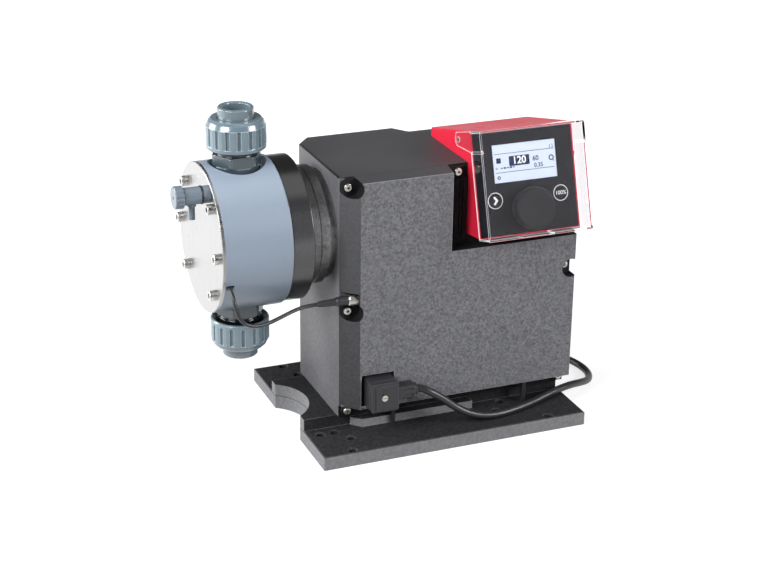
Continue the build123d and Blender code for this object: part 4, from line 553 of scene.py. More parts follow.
def off_axis(tree, z, lift=0.0):
    """How far above or below the head's axis a place is, in metres."""
    return calc(tree, "ABSOLUTE", calc(tree, "SUBTRACT", z, (HEAD_AXIS[1] + lift) * MM))


def valve_zones(tree, body, colour):
    """Paints shade on the valves' threads in the gap between the hexagon and the nut."""
    out = off_axis(tree, object_place(tree)[2])
    return blend_colours(tree, above(tree, out, THREADS_FROM), body, shade(colour, THREAD_TONE))


def barrel_zones(tree, body, colour):
    """Paints shade on the top and the bottom of the barrels between head and housing."""
    out = off_axis(tree, object_place(tree)[2], BARREL_LIFT)
    dim = stretch(tree, out, BARREL_SPAN[0] * MM, BARREL_SPAN[1] * MM)
    return blend_colours(tree, dim, body, shade(colour, BARREL_TONE))


def head_zones(tree, body, colour):
    """Makes the dosing head a little paler above and a little darker below, as painted light and
    shade.
    """
    z = object_place(tree)[2]
    foot, crown = (HEAD_AXIS[1] - HEAD_REACH) * MM, (HEAD_AXIS[1] + HEAD_REACH) * MM
    height = stretch(tree, z, foot, crown)
    low_tint, high_tint = shade(colour, 1.0 - HEAD_TINT), shade(colour, 1.0 + HEAD_TINT)
    tint = blend_colours(tree, height, low_tint, high_tint)
    off_middle = calc(tree, "ABSOLUTE", calc(tree, "SUBTRACT", height, 0.5))
    return blend_colours(tree, calc(tree, "MULTIPLY", off_middle, HEAD_DEPTH), body, tint)


def nut_zones(tree, body, colour):
    """Paints shade in the mouths of the union nuts and the grooves between their ribs."""
    x, y, z = object_place(tree)
    reach = reach_from(tree, x, y, (UNION_AXIS_X, HEAD_AXIS[0]))
    out = off_axis(tree, z)
    mouth = both_of(tree, below(tree, reach, NUT_MOUTH), below(tree, out, NUT_SHOULDER))
    ribbed = both_of(tree, above(tree, out, NUT_RIBBED[0]), below(tree, out, NUT_RIBBED[1]))
    groove = both_of(tree, ribbed, below(tree, reach, NUT_GROOVE))
    groove = calc(tree, "MULTIPLY", groove, GROOVE_DEPTH)
    body = blend_colours(tree, groove, body, shade(colour, GROOVE_TONE))
    return blend_colours(tree, mouth, body, shade(colour, MOUTH_TONE))


print("head axis", HEAD_AXIS, "union axis", UNION_AXIS_X)

# %% [markdown]
# ## Colours of the pump
#
# The housing and its cover are charcoal with coarse blotches. The flange behind the ring is
# mottled in the same way, and the ring is nearly black and shiny; both get painted shade above and
# below the head's axis. The plugs and sockets are black, with pale edges, partly rubbed and partly
# a painted highlight.

# %% Housing and black plastics
housing_grey = moulded(
    "housing_grey", (0.143, 0.144, 0.155), rough=0.38, grain=0.0009, depth=1.0, contrast=0.80,
    edge=4.5, reach=0.0011, darker=housing_zones, Specular_IOR_Level=0.10)
black_plastic = moulded(
    "black_plastic", (0.017, 0.017, 0.019), rough=0.38, grain=0.0005, depth=0.18, contrast=0.10,
    edge=2.4, reach=0.0006, Specular_IOR_Level=0.42)
flange_black = moulded(
    "flange_black", (0.145, 0.146, 0.150), rough=0.26, grain=0.0022, depth=0.40, contrast=0.75,
    edge=0.25, reach=0.0006, darker=barrel_zones, Specular_IOR_Level=0.5)
ring_black = moulded(
    "ring_black", (0.048, 0.048, 0.052), rough=0.22, grain=0.0012, depth=0.06, contrast=0.25,
    edge=0.20, reach=0.0009, darker=barrel_zones, Specular_IOR_Level=1.0)
plug_black = moulded(
    "plug_black", (0.021, 0.021, 0.024), rough=0.34, grain=0.0012, depth=0.18, contrast=0.35,
    edge=4.5, reach=0.0006, Specular_IOR_Level=0.5)
seal_black = moulded(
    "seal_black", (0.010, 0.010, 0.010), rough=0.50, grain=0.0004, depth=0.12, contrast=0.08)
cord_black = moulded(
    "cord_black", (0.018, 0.018, 0.021), rough=0.34, grain=0.0010, depth=0.12, contrast=0.15,
    edge=1.0, Specular_IOR_Level=0.45)
print("black finishes ready, materials", len(bpy.data.materials))

# %% [markdown]
# The plate's outer sides are painted paler than its top, as painted light, and their edges paler
# still, as a painted highlight. The object's own normal tells a side from the top, and its
# coordinates tell the outer sides, the round notch and the ledge's front from the walls of the
# bolt holes, which stay black.

# %% Plate
PLATE_TOP = (0.022, 0.022, 0.024)
# The side colour is painted light on the outer sides, and the corner tone paints a highlight on
# their edges.
PLATE_LIT_SIDE = (0.175, 0.177, 0.185)
TOP_TONES = (0.7, 1.5)
SIDE_TONES = (0.84, 1.16)
CORNER_HIGHLIGHT_TONE = 1.45
CORNER_HIGHLIGHT_SHARE = 0.7
PLATE_BUMP = 0.35
PLATE_FACING = (0.80, 0.25)
RIM_DEPTH = 0.4
PLATE_HALF = [half - RIM_DEPTH for half in box_of("mounting_plate")[1][:2]]
PLATE_TOP_Z = 14.3
LEDGE_FRONT = -49.0
NOTCH_CENTRE = (-163.7, 0.0)
NOTCH_REACH = 45.6

plate_black, tree, shader = bare_finish(
    "plate_black", PLATE_TOP, rough=0.62, Specular_IOR_Level=0.05)
surface = use_group(tree, moulded_grain, Grain=0.0007, Blotch=0.003)
upward = calc(tree, "ABSOLUTE", facing_of(tree)[2])
x, y, z = object_place(tree)
outer = either_of(tree, above(tree, calc(tree, "ABSOLUTE", x), PLATE_HALF[0]),
                  above(tree, calc(tree, "ABSOLUTE", y), PLATE_HALF[1]))
outer = either_of(tree, outer, below(tree, reach_from(tree, x, y, NOTCH_CENTRE), NOTCH_REACH))
ledge = both_of(tree, above(tree, z, PLATE_TOP_Z), below(tree, y, LEDGE_FRONT))
outer = either_of(tree, outer, ledge)
# Painted light: the outer sides take the paler side colour.
lit_side_mask = both_of(tree, stretch(tree, upward, *PLATE_FACING), outer)
top_shades = [shade(PLATE_TOP, tone) for tone in TOP_TONES]
lit_side_shades = [shade(PLATE_LIT_SIDE, tone) for tone in SIDE_TONES]
top = blend_colours(tree, surface.outputs["Tone"], *top_shades)
side = blend_colours(tree, surface.outputs["Tone"], *lit_side_shades)
body = blend_colours(tree, lit_side_mask, top, side)
# Painted highlight on the edges.
rim = use_group(tree, rubbed_and_lit_edge, Reach=0.0008)
worn_and_lit = calc(tree, "MULTIPLY", rim.outputs["Mask"], CORNER_HIGHLIGHT_SHARE)
colour = blend_colours(tree, worn_and_lit, body, shade(PLATE_LIT_SIDE, CORNER_HIGHLIGHT_TONE))
join(tree, colour, shader.inputs["Base Color"])
bump_from(tree, shader, surface.outputs["Height"], PLATE_BUMP, rounded=rim.outputs["Normal"])
print("plate half sizes less the rim", PLATE_HALF)

# %% [markdown]
# The head and its unions are turned and moulded from hard plastic pipe stock. That material is
# smooth, a little waxy, and carries a faint cloudy tone. The head is pale blue grey, the unions
# are a darker blue grey, and the valve bodies are the darkest. The edges of the unions and the
# valve bodies are painted much paler, as painted highlights.

# %% Head and unions
head_grey = moulded(
    "head_grey", (0.202, 0.247, 0.309), rough=0.33, grain=0.0014, depth=0.05, contrast=0.05,
    edge=1.1, reach=0.0006, darker=head_zones, Specular_IOR_Level=0.85)
union_grey = moulded(
    "union_grey", (0.128, 0.178, 0.210), rough=0.17, grain=0.0010, depth=0.06, contrast=0.10,
    edge=4.0, reach=0.0009, darker=nut_zones, Specular_IOR_Level=1.0)
insert_grey = moulded(
    "insert_grey", (0.110, 0.148, 0.172), rough=0.15, grain=0.0010, depth=0.06, contrast=0.10,
    edge=4.5, reach=0.0009, Specular_IOR_Level=1.0)
body_slate = moulded(
    "body_slate", (0.045, 0.063, 0.074), rough=0.13, grain=0.0010, depth=0.06, contrast=0.08,
    edge=5.0, reach=0.0010, darker=valve_zones, Specular_IOR_Level=1.0)
valve_grey = moulded(
    "valve_grey", (0.135, 0.170, 0.205), rough=0.26, grain=0.0010, depth=0.06, contrast=0.06,
    edge=1.7, reach=0.0006, Specular_IOR_Level=0.5)
print("blue greys ready, materials", len(bpy.data.materials))

# %% [markdown]
# The control cube is moulded in red plastic, even and without shine, and its edges are painted
# only a little paler, as a faint painted highlight. Its panel is an almost black sheet, and the
# click wheel on it is black with paler edges, partly worn and partly a painted highlight.

# %% Control cube
cube_red = moulded(
    "cube_red", (0.520, 0.014, 0.037), rough=0.38, grain=0.0006, depth=0.10, contrast=0.035,
    edge=1.15, reach=0.0008, Specular_IOR_Level=0.10)
panel_dark = moulded(
    "panel_dark", (0.006, 0.007, 0.011), rough=0.30, grain=0.0040, depth=0.01, contrast=0.06,
    edge=1.5, reach=0.0004, Specular_IOR_Level=0.08)
wheel_dark = moulded(
    "wheel_dark", (0.009, 0.009, 0.012), rough=0.36, grain=0.0030, depth=0.03, contrast=0.40,
    edge=12.0, reach=0.0007, Specular_IOR_Level=0.10)
print("cube finishes ready, materials", len(bpy.data.materials))

# %% [markdown]
# ## Metals
#
# Stainless steel is a plain metal with a high base colour. What makes it look
# real is the breaking up of its reflections by tool marks: long parallel lines
# on the brushed plate, and short ones round the screws. Marks says how closely
# the lines follow each other along each axis.

# %% Metals
MARK_HEIGHT = 0.0001


def metal(name, colour, rough, marks, depth, spread=0.10, tones=(0.88, 1.06)):
    """A metal with tool marks along the given directions."""
    material, tree, shader = bare_finish(name, colour, rough, Metallic=1.0)
    grooves = use_group(tree, tool_marks, Along_X=marks[0], Along_Y=marks[1], Along_Z=marks[2])
    low_tone, high_tone = shade(colour, tones[0]), shade(colour, tones[1])
    tone = blend_colours(tree, grooves.outputs["Tone"], low_tone, high_tone)
    join(tree, tone, shader.inputs["Base Color"])
    dullness = stretch(tree, grooves.outputs["Tone"], 0.0, 1.0, rough, rough + spread)
    join(tree, dullness, shader.inputs["Roughness"])
    bump_from(tree, shader, grooves.outputs["Height"], depth, MARK_HEIGHT)
    return material


brushed_plate = metal("brushed_plate", (0.435, 0.435, 0.435), rough=0.26,
                      marks=(40.0, 300.0, 12.0), depth=0.15, tones=(0.955, 1.03))
stainless = metal("stainless", (0.66, 0.65, 0.63), rough=0.24,
                  marks=(2600.0, 300.0, 300.0), depth=0.12)
zinc = metal("zinc", (0.42, 0.42, 0.43), rough=0.38, marks=(900.0, 900.0, 900.0), depth=0.12)
gear_brass = metal("gear_brass", (0.62, 0.44, 0.18), rough=0.30,
                   marks=(500.0, 2600.0, 500.0), depth=0.12)
nickel = metal("nickel", (0.62, 0.60, 0.56), rough=0.22, marks=(2600.0, 400.0, 400.0), depth=0.10)
print("metals ready, materials", len(bpy.data.materials))

# %% [markdown]
# ## Inner finishes
#
# These surfaces hide behind the cover and inside the head. They still get a
# true finish, because the model may be taken apart later.

# %% Inner finishes
ceramic = moulded(
    "ceramic", (0.80, 0.79, 0.75), rough=0.12, grain=0.0010, depth=0.02, contrast=0.02, edge=1.0)
membrane = moulded(
    "membrane", (0.76, 0.76, 0.73), rough=0.34, grain=0.0008, depth=0.06, contrast=0.03, edge=1.0)
motor_black = moulded(
    "motor_black", (0.020, 0.020, 0.021), rough=0.34, grain=0.0006, depth=0.12, contrast=0.08,
    edge=2.2)
circuit_green = moulded(
    "circuit_green", (0.015, 0.120, 0.045), rough=0.30, grain=0.0008, depth=0.05, contrast=0.12,
    edge=1.2)
print("inner finishes ready, materials", len(bpy.data.materials))

# %% [markdown]
# ## The display
#
# The display is lit from behind: its pale blue comes partly from the light it
# gives off. What it shows is in three inks, and the keys are printed in white.

# %% Display and print
GLOW_COLOURS = ((0.50, 0.68, 0.90), (0.60, 0.77, 0.96))
GLOW_STRENGTH = 0.05
INKS = dict(rough=0.35, grain=0.0006, depth=0.02, edge=1.0)

display_pale, tree, shader = bare_finish(
    "display_pale", (0.580, 0.660, 0.790), rough=0.22, Specular_IOR_Level=0.2)
surface = use_group(tree, moulded_grain, Grain=0.0004, Blotch=0.012)
glow = blend_colours(tree, surface.outputs["Tone"], *GLOW_COLOURS)
join(tree, glow, shader.inputs["Emission Color"])
shader.inputs["Emission Strength"].default_value = GLOW_STRENGTH

display_ink = moulded(
    "display_ink", (0.003, 0.016, 0.070), contrast=0.05, Specular_IOR_Level=0.1, **INKS)
display_grey = moulded("display_grey", (0.014, 0.032, 0.085), contrast=0.05, **INKS)
display_pixel = moulded("display_pixel", (0.90, 0.94, 0.98), contrast=0.02, **INKS)
print_white = moulded(
    "print_white", (0.95, 0.95, 0.96), rough=0.45, grain=0.0004, depth=0.04, contrast=0.03,
    edge=1.0)
print("display finishes ready, materials", len(bpy.data.materials))

# %% [markdown]
# ## The clear lid
#
# The lid is clear acrylic. Real acrylic lets light through to the panel, but a path tracer treats
# it as a solid shadow, so the shader turns nearly invisible for shadow rays and for the rays that
# leave a dull surface. The cut edges get a painted glint: they give off a little light of their
# own, where real acrylic edges catch the light.

# %% Lid
HIDDEN_SHARE = 0.9
GLINT_COLOUR = (0.70, 0.71, 0.74)
GLINT_STRENGTH = 0.95

clear_acrylic, tree, shader = bare_finish(
    "clear_acrylic", (0.90, 0.885, 0.900), rough=0.02, IOR=1.49, Transmission_Weight=1.0)
rays = add(tree, "ShaderNodeLightPath")
unseen = either_of(tree, rays.outputs["Is Shadow Ray"], rays.outputs["Is Diffuse Ray"])
cast = calc(tree, "MULTIPLY", unseen, HIDDEN_SHARE)
join(tree, calc(tree, "SUBTRACT", 1.0, cast), shader.inputs["Alpha"])
# Painted glint: the edges give off a pale light of their own.
rim = use_group(tree, rubbed_and_lit_edge, Reach=0.0011)
glint = blend_colours(tree, rim.outputs["Mask"], (0.0, 0.0, 0.0), GLINT_COLOUR)
join(tree, glint, shader.inputs["Emission Color"])
shader.inputs["Emission Strength"].default_value = GLINT_STRENGTH
print("finishes", len(bpy.data.materials))

# %% [markdown]
# ## Which piece wears what
#
# One table says which finish each CAD node wears. A node may only have its
# materials changed, never its mesh, so this is all that dressing it takes.

# %% Dress the nodes
WEARS = {
    "mounting_plate": plate_black, "locking_posts": plug_black,
    "rear_housing": housing_grey, "front_cover": housing_grey, "cover_screws": nickel,
    "drive_flange": flange_black, "drain_ring": ring_black, "dosing_head": head_grey,
    "head_front_plate": brushed_plate, "head_screws": stainless,
    "discharge_valve_body": body_slate, "suction_valve_body": body_slate,
    "valve_seats": head_grey, "discharge_ball": ceramic, "suction_ball": ceramic,
    "union_o_rings": seal_black, "discharge_union_nut": union_grey,
    "suction_union_nut": union_grey, "discharge_insert": insert_grey,
    "suction_insert": insert_grey, "deaeration_body": valve_grey,
    "deaeration_o_ring": seal_black, "deaeration_knob": valve_grey,
    "cube_case": cube_red, "control_panel": panel_dark, "lcd_window": display_pale,
    "cube_circuit_board": circuit_green, "rotary_encoder": zinc,
    "encoder_shaft": stainless, "click_wheel": wheel_dark,
    "start_stop_button": panel_dark, "full_rate_button": panel_dark,
    "clear_lid": clear_acrylic, "lid_hinge_pins": nickel,
    "mains_socket": black_plastic, "plug_gasket": seal_black, "mains_plug": plug_black,
    "plug_screw": nickel, "mains_cable": cord_black, "mains_cable_coil": cord_black,
    "lead_plug": plug_black, "sensor_socket": nickel, "sensor_nut": nickel,
    "sensor_connector": plug_black, "sensor_cable": cord_black, "drive_frame": zinc,
    "stepper_motor": motor_black, "motor_pinion": stainless, "drive_gear": gear_brass,
    "eccentric_shaft": stainless, "shaft_bearings": stainless, "tappet": stainless,
    "tappet_bush": gear_brass, "diaphragm_core": stainless, "diaphragm": membrane,
    "safety_diaphragm": seal_black, "main_circuit_board": circuit_green,
}
for name, material in WEARS.items():
    mesh = nodes[name].data
    mesh.materials.clear()
    mesh.materials.append(material)
print("dressed", len(WEARS), "left bare", sorted(set(nodes) - set(WEARS)))

# %% [markdown]
# ## Smooth barrels, crisp edges
#
# CAD meshes arrive as flat facets. Shading a barrel smooth while its rim stays
# sharp only needs the angle between faces: below about thirty degrees the two
# belong to one curved surface.

# %% Smooth by angle
SMOOTH_BELOW = math.radians(28.0)
for node in nodes.values():
    node.data.shade_smooth()
    node.data.set_sharp_from_angle(angle=SMOOTH_BELOW)
print("smoothed", len(nodes), "meshes")

# %% [markdown]
# ## Cords are curves
#
# A cord is one open NURBS spline through the points of its route, with a round
# bevel. The order is set after the points, because a new spline has too few
# points for it. A quadratic spline cuts every corner softly, as a cord does.

# %% A cord from a route
ROUND_STEPS = 6
LENGTH_STEPS = 10


def lay_cord(name, route, radius, material):
    """A round cord along a route given in millimetres."""
    curve = bpy.data.curves.new(name, "CURVE")
    curve.dimensions = "3D"
    curve.bevel_depth = radius * MM
    curve.bevel_resolution = ROUND_STEPS
    curve.resolution_u = LENGTH_STEPS
    spline = curve.splines.new("NURBS")
    spline.points.add(len(route) - 1)
    for point, place in zip(spline.points, route):
        point.co = (*mm(*place), 1.0)
    spline.order_u = 3
    spline.use_endpoint_u = True
    cord = bpy.data.objects.new(name, curve)
    scene.collection.objects.link(cord)
    curve.materials.append(material)
    return cord


print("cord steps round and along", ROUND_STEPS, LENGTH_STEPS)

# %% [markdown]
# ## The mains lead
#
# The lead leaves the gland of the mains plug, drops in front of the cover, lies
# on the mounting plate, falls off its right end and goes round behind the pump.
# The photograph doesn't show the rest, so it's put away behind the housing: it
# is wound into a small double coil, three turns and a quarter, and its own plug
# lies beside it.

# %% Route of the mains lead
LEAD_RADIUS = 3.75
LEAD_START = [(-39.9, -79.0, 57.5), (-30.0, -79.0, 57.5)]
LEAD_ROUTE = [
    (-22.0, -83.5, 54.0), (-8.0, -84.5, 44.5), (6.0, -85.6, 32.5), (23.0, -87.6, 22.4),
    (44.0, -88.8, 18.0), (70.0, -84.5, 17.9), (98.0, -75.0, 18.3), (124.0, -65.4, 20.6),
    (148.0, -55.0, 19.2), (168.0, -43.5, 13.6), (185.0, -29.0, 7.2), (196.0, -9.0, 4.1),
    (197.0, 14.0, 3.9), (189.0, 39.0, 3.95), (177.0, 66.0, 3.9), (166.0, 91.0, 3.95),
    (157.0, 114.0, 3.9), (150.5, 134.0, 3.95), (146.3, 153.0, 3.9),
]
print("lead points", len(LEAD_START) + len(LEAD_ROUTE))

# %% [markdown]
# The coil is described by how far out and how high the lead is at each angle of
# its winding, in degrees. The first turn lies outside on the floor. It moves in
# before it meets the incoming lead, winds once inside, climbs onto itself, winds
# once more on top, and moves out again to leave the coil. Its middle and its
# width are those of the CAD piece that it stands for.

# %% Winding the coil
COIL = "mains_cable_coil"
COIL_CENTRE = middle_of(COIL)[:2]
OUTER_TURN = box_of(COIL)[1][0] - COIL_CENTRE[0] - LEAD_RADIUS
INNER_TURN = OUTER_TURN - 2.0 * LEAD_RADIUS
FLOOR_LAYER = LEAD_RADIUS + 0.15
UPPER_LAYER = FLOOR_LAYER + 2.0 * LEAD_RADIUS
MOVES_IN = (312.0, 358.0)
CLIMBS = (618.0, 700.0)
MOVES_OUT = (915.0, 975.0)
WOUND = 1170.0
POINTS_PER_TURN = 24
STEP = 360.0 / POINTS_PER_TURN


def ease(value, start, stop):
    """A soft step from 0 at the start to 1 at the stop."""
    share = min(1.0, max(0.0, (value - start) / (stop - start)))
    return share * share * (3.0 - 2.0 * share)


def coil_point(angle):
    """Where the lead is when it has been wound by this angle."""
    inward = ease(angle, *MOVES_IN) - ease(angle, *MOVES_OUT)
    radius = OUTER_TURN + (INNER_TURN - OUTER_TURN) * inward
    height = FLOOR_LAYER + (UPPER_LAYER - FLOOR_LAYER) * ease(angle, *CLIMBS)
    turn = math.radians(angle)
    return (COIL_CENTRE[0] + radius * math.cos(turn), COIL_CENTRE[1] + radius * math.sin(turn),
            height)


coil = [coil_point(index * STEP) for index in range(int(WOUND / STEP) + 1)]
print("coil points", len(coil), "outer turn", OUTER_TURN)

# %% [markdown]
# The lead leaves the top of the coil towards its plug, and rises to the plug's gland. One call
# then lays the cord along the whole route, from where it comes out of the pump, with its thickness
# and finish.

# %% Laying the mains lead
PLUG_HEIGHT = middle_of("lead_plug")[2]
LEAVES_AT = COIL_CENTRE[1] + OUTER_TURN
TAIL = [(12.0, UPPER_LAYER), (24.0, UPPER_LAYER + 0.2), (46.0, PLUG_HEIGHT), (57.0, PLUG_HEIGHT)]

tail = [(COIL_CENTRE[0] - reach, LEAVES_AT, height) for reach, height in TAIL]
mains_lead = lay_cord("mains_lead", LEAD_START + LEAD_ROUTE + coil + tail, LEAD_RADIUS, cord_black)
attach(mains_lead, "pump")
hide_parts("mains_cable", "mains_cable_coil")

# %% [markdown]
# ## The sensor line
#
# A thin line hangs from the head's leakage sensor to a small socket in the side
# of the cover. Both of its ends go into the pump, so nothing of it is hidden.

# %% Sensor line
SENSOR_RADIUS = 1.8
SENSOR_ROUTE = [
    (-214.3, -63.5, 181.5), (-214.4, -71.0, 177.5), (-213.8, -76.0, 169.0), (-211.5, -77.5, 158.5),
    (-205.0, -77.5, 149.6), (-194.0, -76.0, 145.4), (-180.0, -72.5, 145.6), (-165.0, -68.0, 148.6),
    (-151.0, -63.6, 151.2), (-139.5, -61.0, 152.0), (-128.6, -61.0, 152.0),
]
sensor_line = lay_cord("sensor_line", SENSOR_ROUTE, SENSOR_RADIUS, cord_black)
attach(sensor_line, "pump")
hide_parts("sensor_cable")
print("cords", mains_lead.name, sensor_line.name)

# %% [markdown]
# ## A ruler on the leaning panel
#
# Everything printed on the control panel is placed in the panel's own flat
# coordinates: across, up along the panel, and out of it. One function turns
# them into the world, so a leaning panel is no harder than a flat one.

# %% Panel coordinates
PANEL_FOOT = (middle_of("control_panel")[0], -87.6, 207.1)
PANEL_LEAN = math.radians(17.0)


def on_panel(across, along, out):
    """A place on the leaning panel, in millimetres."""
    return mm(PANEL_FOOT[0] + across,
              PANEL_FOOT[1] + along * math.sin(PANEL_LEAN) - out * math.cos(PANEL_LEAN),
              PANEL_FOOT[2] + along * math.cos(PANEL_LEAN) + out * math.sin(PANEL_LEAN))


def panel_matrix(across, along, out):
    """Turns a flat drawing so that it lies on the panel."""
    lean = Matrix.Rotation(math.radians(90.0) - PANEL_LEAN, 4, "X")
    return Matrix.Translation(on_panel(across, along, out)) @ lean


print("panel centre", [round(part, 4) for part in on_panel(0.0, 50.0, 0.0)])

# %% [markdown]
# ## Printing
#
# Printed marks have a thickness of a few hundredths of a millimetre. Each mark
# is a flat outline that is pushed out a little: a mesh made from two rings of
# points. A ring shaped mark has an inner and an outer outline. Digits are text
# objects, whose outlines come from a font and are given the same thickness.

# %% Marks from outlines
INK = 0.08
RING_STEPS = 72


def mesh_piece(name, points, faces, material, body):
    """Makes a mesh piece, gives it a finish and lets it ride on a body."""
    mesh = bpy.data.meshes.new(name)
    mesh.from_pydata(points, [], faces)
    piece = bpy.data.objects.new(name, mesh)
    scene.collection.objects.link(piece)
    mesh.materials.append(material)
    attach(piece, body)
    return piece


def flat_marks(name, outlines, out, material, body="pump"):
    """Several filled outlines on the panel, as one thin mesh."""
    points, faces = [], []
    for outline in outlines:
        first, count = len(points), len(outline)
        points += [on_panel(across, along, out) for across, along in outline]
        points += [on_panel(across, along, out + INK) for across, along in outline]
        faces.append([first + count + index for index in range(count)])
        faces.append([first + index for index in reversed(range(count))])
        for index in range(count):
            after = (index + 1) % count
            faces.append([first + index, first + after, first + count + after,
                          first + count + index])
    return mesh_piece(name, points, faces, material, body)


def ring_mark(name, centre, radius, line, out, material, body="pump", slot="panel_dark"):
    """A printed ring on the panel."""
    points, faces = [], []
    corners = [(radius, 0.0), (radius, INK), (radius - line, INK), (radius - line, 0.0)]
    for index in range(RING_STEPS):
        turn = 2.0 * math.pi * index / RING_STEPS
        for reach, rise in corners:
            across = centre[0] + reach * math.cos(turn)
            along = centre[1] + reach * math.sin(turn)
            points.append(on_panel(across, along, out + rise))
    for index in range(RING_STEPS):
        here, after = 4 * index, 4 * ((index + 1) % RING_STEPS)
        for side in range(4):
            beside = (side + 1) % 4
            faces.append([here + side, after + side, after + beside, here + beside])
    return mesh_piece(name, points, faces, material, body)


def bar(across, along, width, height):
    """The outline of a bar round its centre."""
    half, rise = width / 2.0, height / 2.0
    return [(across - half, along - rise), (across + half, along - rise),
            (across + half, along + rise), (across - half, along + rise)]


def number(name, words, size, place, out, material, body="pump", bold=0.0):
    """Digits on the panel, centred on a place."""
    text = bpy.data.curves.new(name, "FONT")
    text.body = words
    text.size = size * MM
    text.align_x = "CENTER"
    text.align_y = "CENTER"
    text.extrude = 0.5 * INK * MM
    text.offset = bold * MM
    text.materials.append(material)
    piece = bpy.data.objects.new(name, text)
    scene.collection.objects.link(piece)
    piece.matrix_world = panel_matrix(*place, out + INK)
    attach(piece, body)
    return piece


print("ink is", INK, "mm thick")

# %% [markdown]
# ## What the display shows
#
# The display shows a plain number in a dark box, two smaller numbers, a row of
# strokes, a few thin lines, a square and three round signs. Places on it are
# given as shares of its width and height, counted from its upper left corner,
# as one would read them off a photograph.

# %% Display
DISPLAY_SIZE = (66.3, 36.2)
DISPLAY_ALONG = 68.2
DISPLAY_OUT = -0.38
DISPLAY_SLOT = "display_blue"
NUMBER_PLACE = (0.415, 0.46)
NUMBER_BOX = (21.4, 9.4)
NUMBER_LIFT = 0.1
BARS = [
    (0.088, 0.42, 4.6, 4.9), (0.5, 0.245, 62.0, 0.45), (0.5, 0.735, 62.0, 0.5),
    (0.955, 0.19, 0.5, 4.2), (0.915, 0.19, 0.5, 4.2), (0.955, 0.555, 0.7, 2.2),
]
RINGS = [
    ("display_sign_right", (0.925, 0.485), 2.7, 1.05, display_ink),
    ("display_sign_left", (0.075, 0.865), 1.7, 0.9, display_ink),
    ("display_sign_low", (0.05, 0.62), 1.0, 0.4, display_grey),
]
SMALL_NUMBERS = [
    ("display_small_number", "0.35", 5.6, (0.715, 0.64)),
    ("display_upper_number", "60", 6.6, (0.675, 0.46)),
]
STROKES = [(0.13 + 0.048 * index, 0.62, 2.3, 1.0 + 0.7 * (index % 2)) for index in range(5)]


def on_display(share_across, share_down):
    """A share of the display's width and height in panel millimetres."""
    return ((share_across - 0.5) * DISPLAY_SIZE[0],
            DISPLAY_ALONG + (0.5 - share_down) * DISPLAY_SIZE[1])


def display_bars(name, bars, material):
    """Several bars on the display as one piece, from places, widths and heights."""
    outlines = [bar(*on_display(*place), width, height) for *place, width, height in bars]
    return flat_marks(name, outlines, DISPLAY_OUT, material)


display_bars("display_box", [(*NUMBER_PLACE, *NUMBER_BOX)], display_ink)
across, along = on_display(*NUMBER_PLACE)
number("display_number", "120", 9.6, (across, along + NUMBER_LIFT), DISPLAY_OUT + INK,
       display_pixel, bold=0.22)
display_bars("display_signs", BARS, display_ink)
for name, place, radius, line, ink in RINGS:
    ring_mark(name, on_display(*place), radius, line, DISPLAY_OUT, ink, slot=DISPLAY_SLOT)
for name, words, size, place in SMALL_NUMBERS:
    number(name, words, size, on_display(*place), DISPLAY_OUT, display_grey, bold=0.10)
display_bars("display_strokes", STROKES, display_grey)
print("display marks", len(BARS) + len(RINGS) + len(SMALL_NUMBERS) + len(STROKES) + 2)

# %% [markdown]
# ## Rings and signs on the two buttons
#
# Each button is a round key with a white ring near its rim. The left one has an
# arrow and the right one a plain number. The marks ride on the buttons' own
# bodies, so they go down with the key when it is pressed.

# %% Button marks
BUTTONS = ("start_stop_button", "full_rate_button")
BUTTON_ALONG = 34.0
BUTTON_FACE = 0.5
KEY_RING = (7.75, 0.65)
ARROW = [(0.3, 0.0), (-2.1, -3.2), (-0.3, -4.2), (3.1, 0.0), (-0.3, 4.2), (-2.1, 3.2)]

places = [(middle_of(button)[0] - PANEL_FOOT[0], BUTTON_ALONG) for button in BUTTONS]
for button, place in zip(BUTTONS, places):
    ring_mark(button + "_ring", place, *KEY_RING, BUTTON_FACE, print_white, button)
arrow = [(places[0][0] + across, places[0][1] + along) for across, along in ARROW]
flat_marks("start_stop_arrow", [arrow], BUTTON_FACE, print_white, "start_stop_button")
number("full_rate_number", "100%", 5.3, places[1], BUTTON_FACE, print_white,
       "full_rate_button", bold=0.04)
print("buttons marked", BUTTONS)

# %% [markdown]
# ## Studio: floor
#
# The pump stands on white paper. The paper takes a soft shadow, and for the
# camera it gives off light of its own, little beside the pump and more further
# out, so that it reads as pure white but keeps the shadow. In reflections the
# paper behind the pump is bright and the paper in front of it is dim.

# %% Floor
FLOOR_HALF = 6.0
PAPER_GREY = (0.30, 0.30, 0.30)
FIBRES_PER_METRE = 900.0
FIBRE_DEPTH = 0.03
SHOWN_REACH = (0.30, 0.95)
SHOWN_GLOW = (0.76, 1.0)
MIRRORED_REACH = (-0.30, 0.25)
MIRRORED_GLOW = (0.28, 1.15)
WHITE = (1.0, 1.0, 1.0, 1.0)

corners = [(-1, -1), (1, -1), (1, 1), (-1, 1)]
floor_mesh = bpy.data.meshes.new("floor")
floor_points = [(FLOOR_HALF * across, FLOOR_HALF * along, 0.0) for across, along in corners]
floor_mesh.from_pydata(floor_points, [], [(0, 1, 2, 3)])
floor = bpy.data.objects.new("floor", floor_mesh)
scene.collection.objects.link(floor)
paper, tree, shader = bare_finish("paper", PAPER_GREY, rough=0.9, Specular_IOR_Level=0.1)
fibre = add(tree, "ShaderNodeTexNoise")
fibre.inputs["Scale"].default_value = FIBRES_PER_METRE
join(tree, add(tree, "ShaderNodeTexCoord").outputs["Object"], fibre.inputs["Vector"])
bump_from(tree, shader, fibre.outputs["Fac"], FIBRE_DEPTH)
where = add(tree, "ShaderNodeTexCoord").outputs["Object"]
distance = add(tree, "ShaderNodeVectorMath", operation="LENGTH")
join(tree, where, distance.inputs[0])
spot = add(tree, "ShaderNodeSeparateXYZ")
join(tree, where, spot.inputs[0])
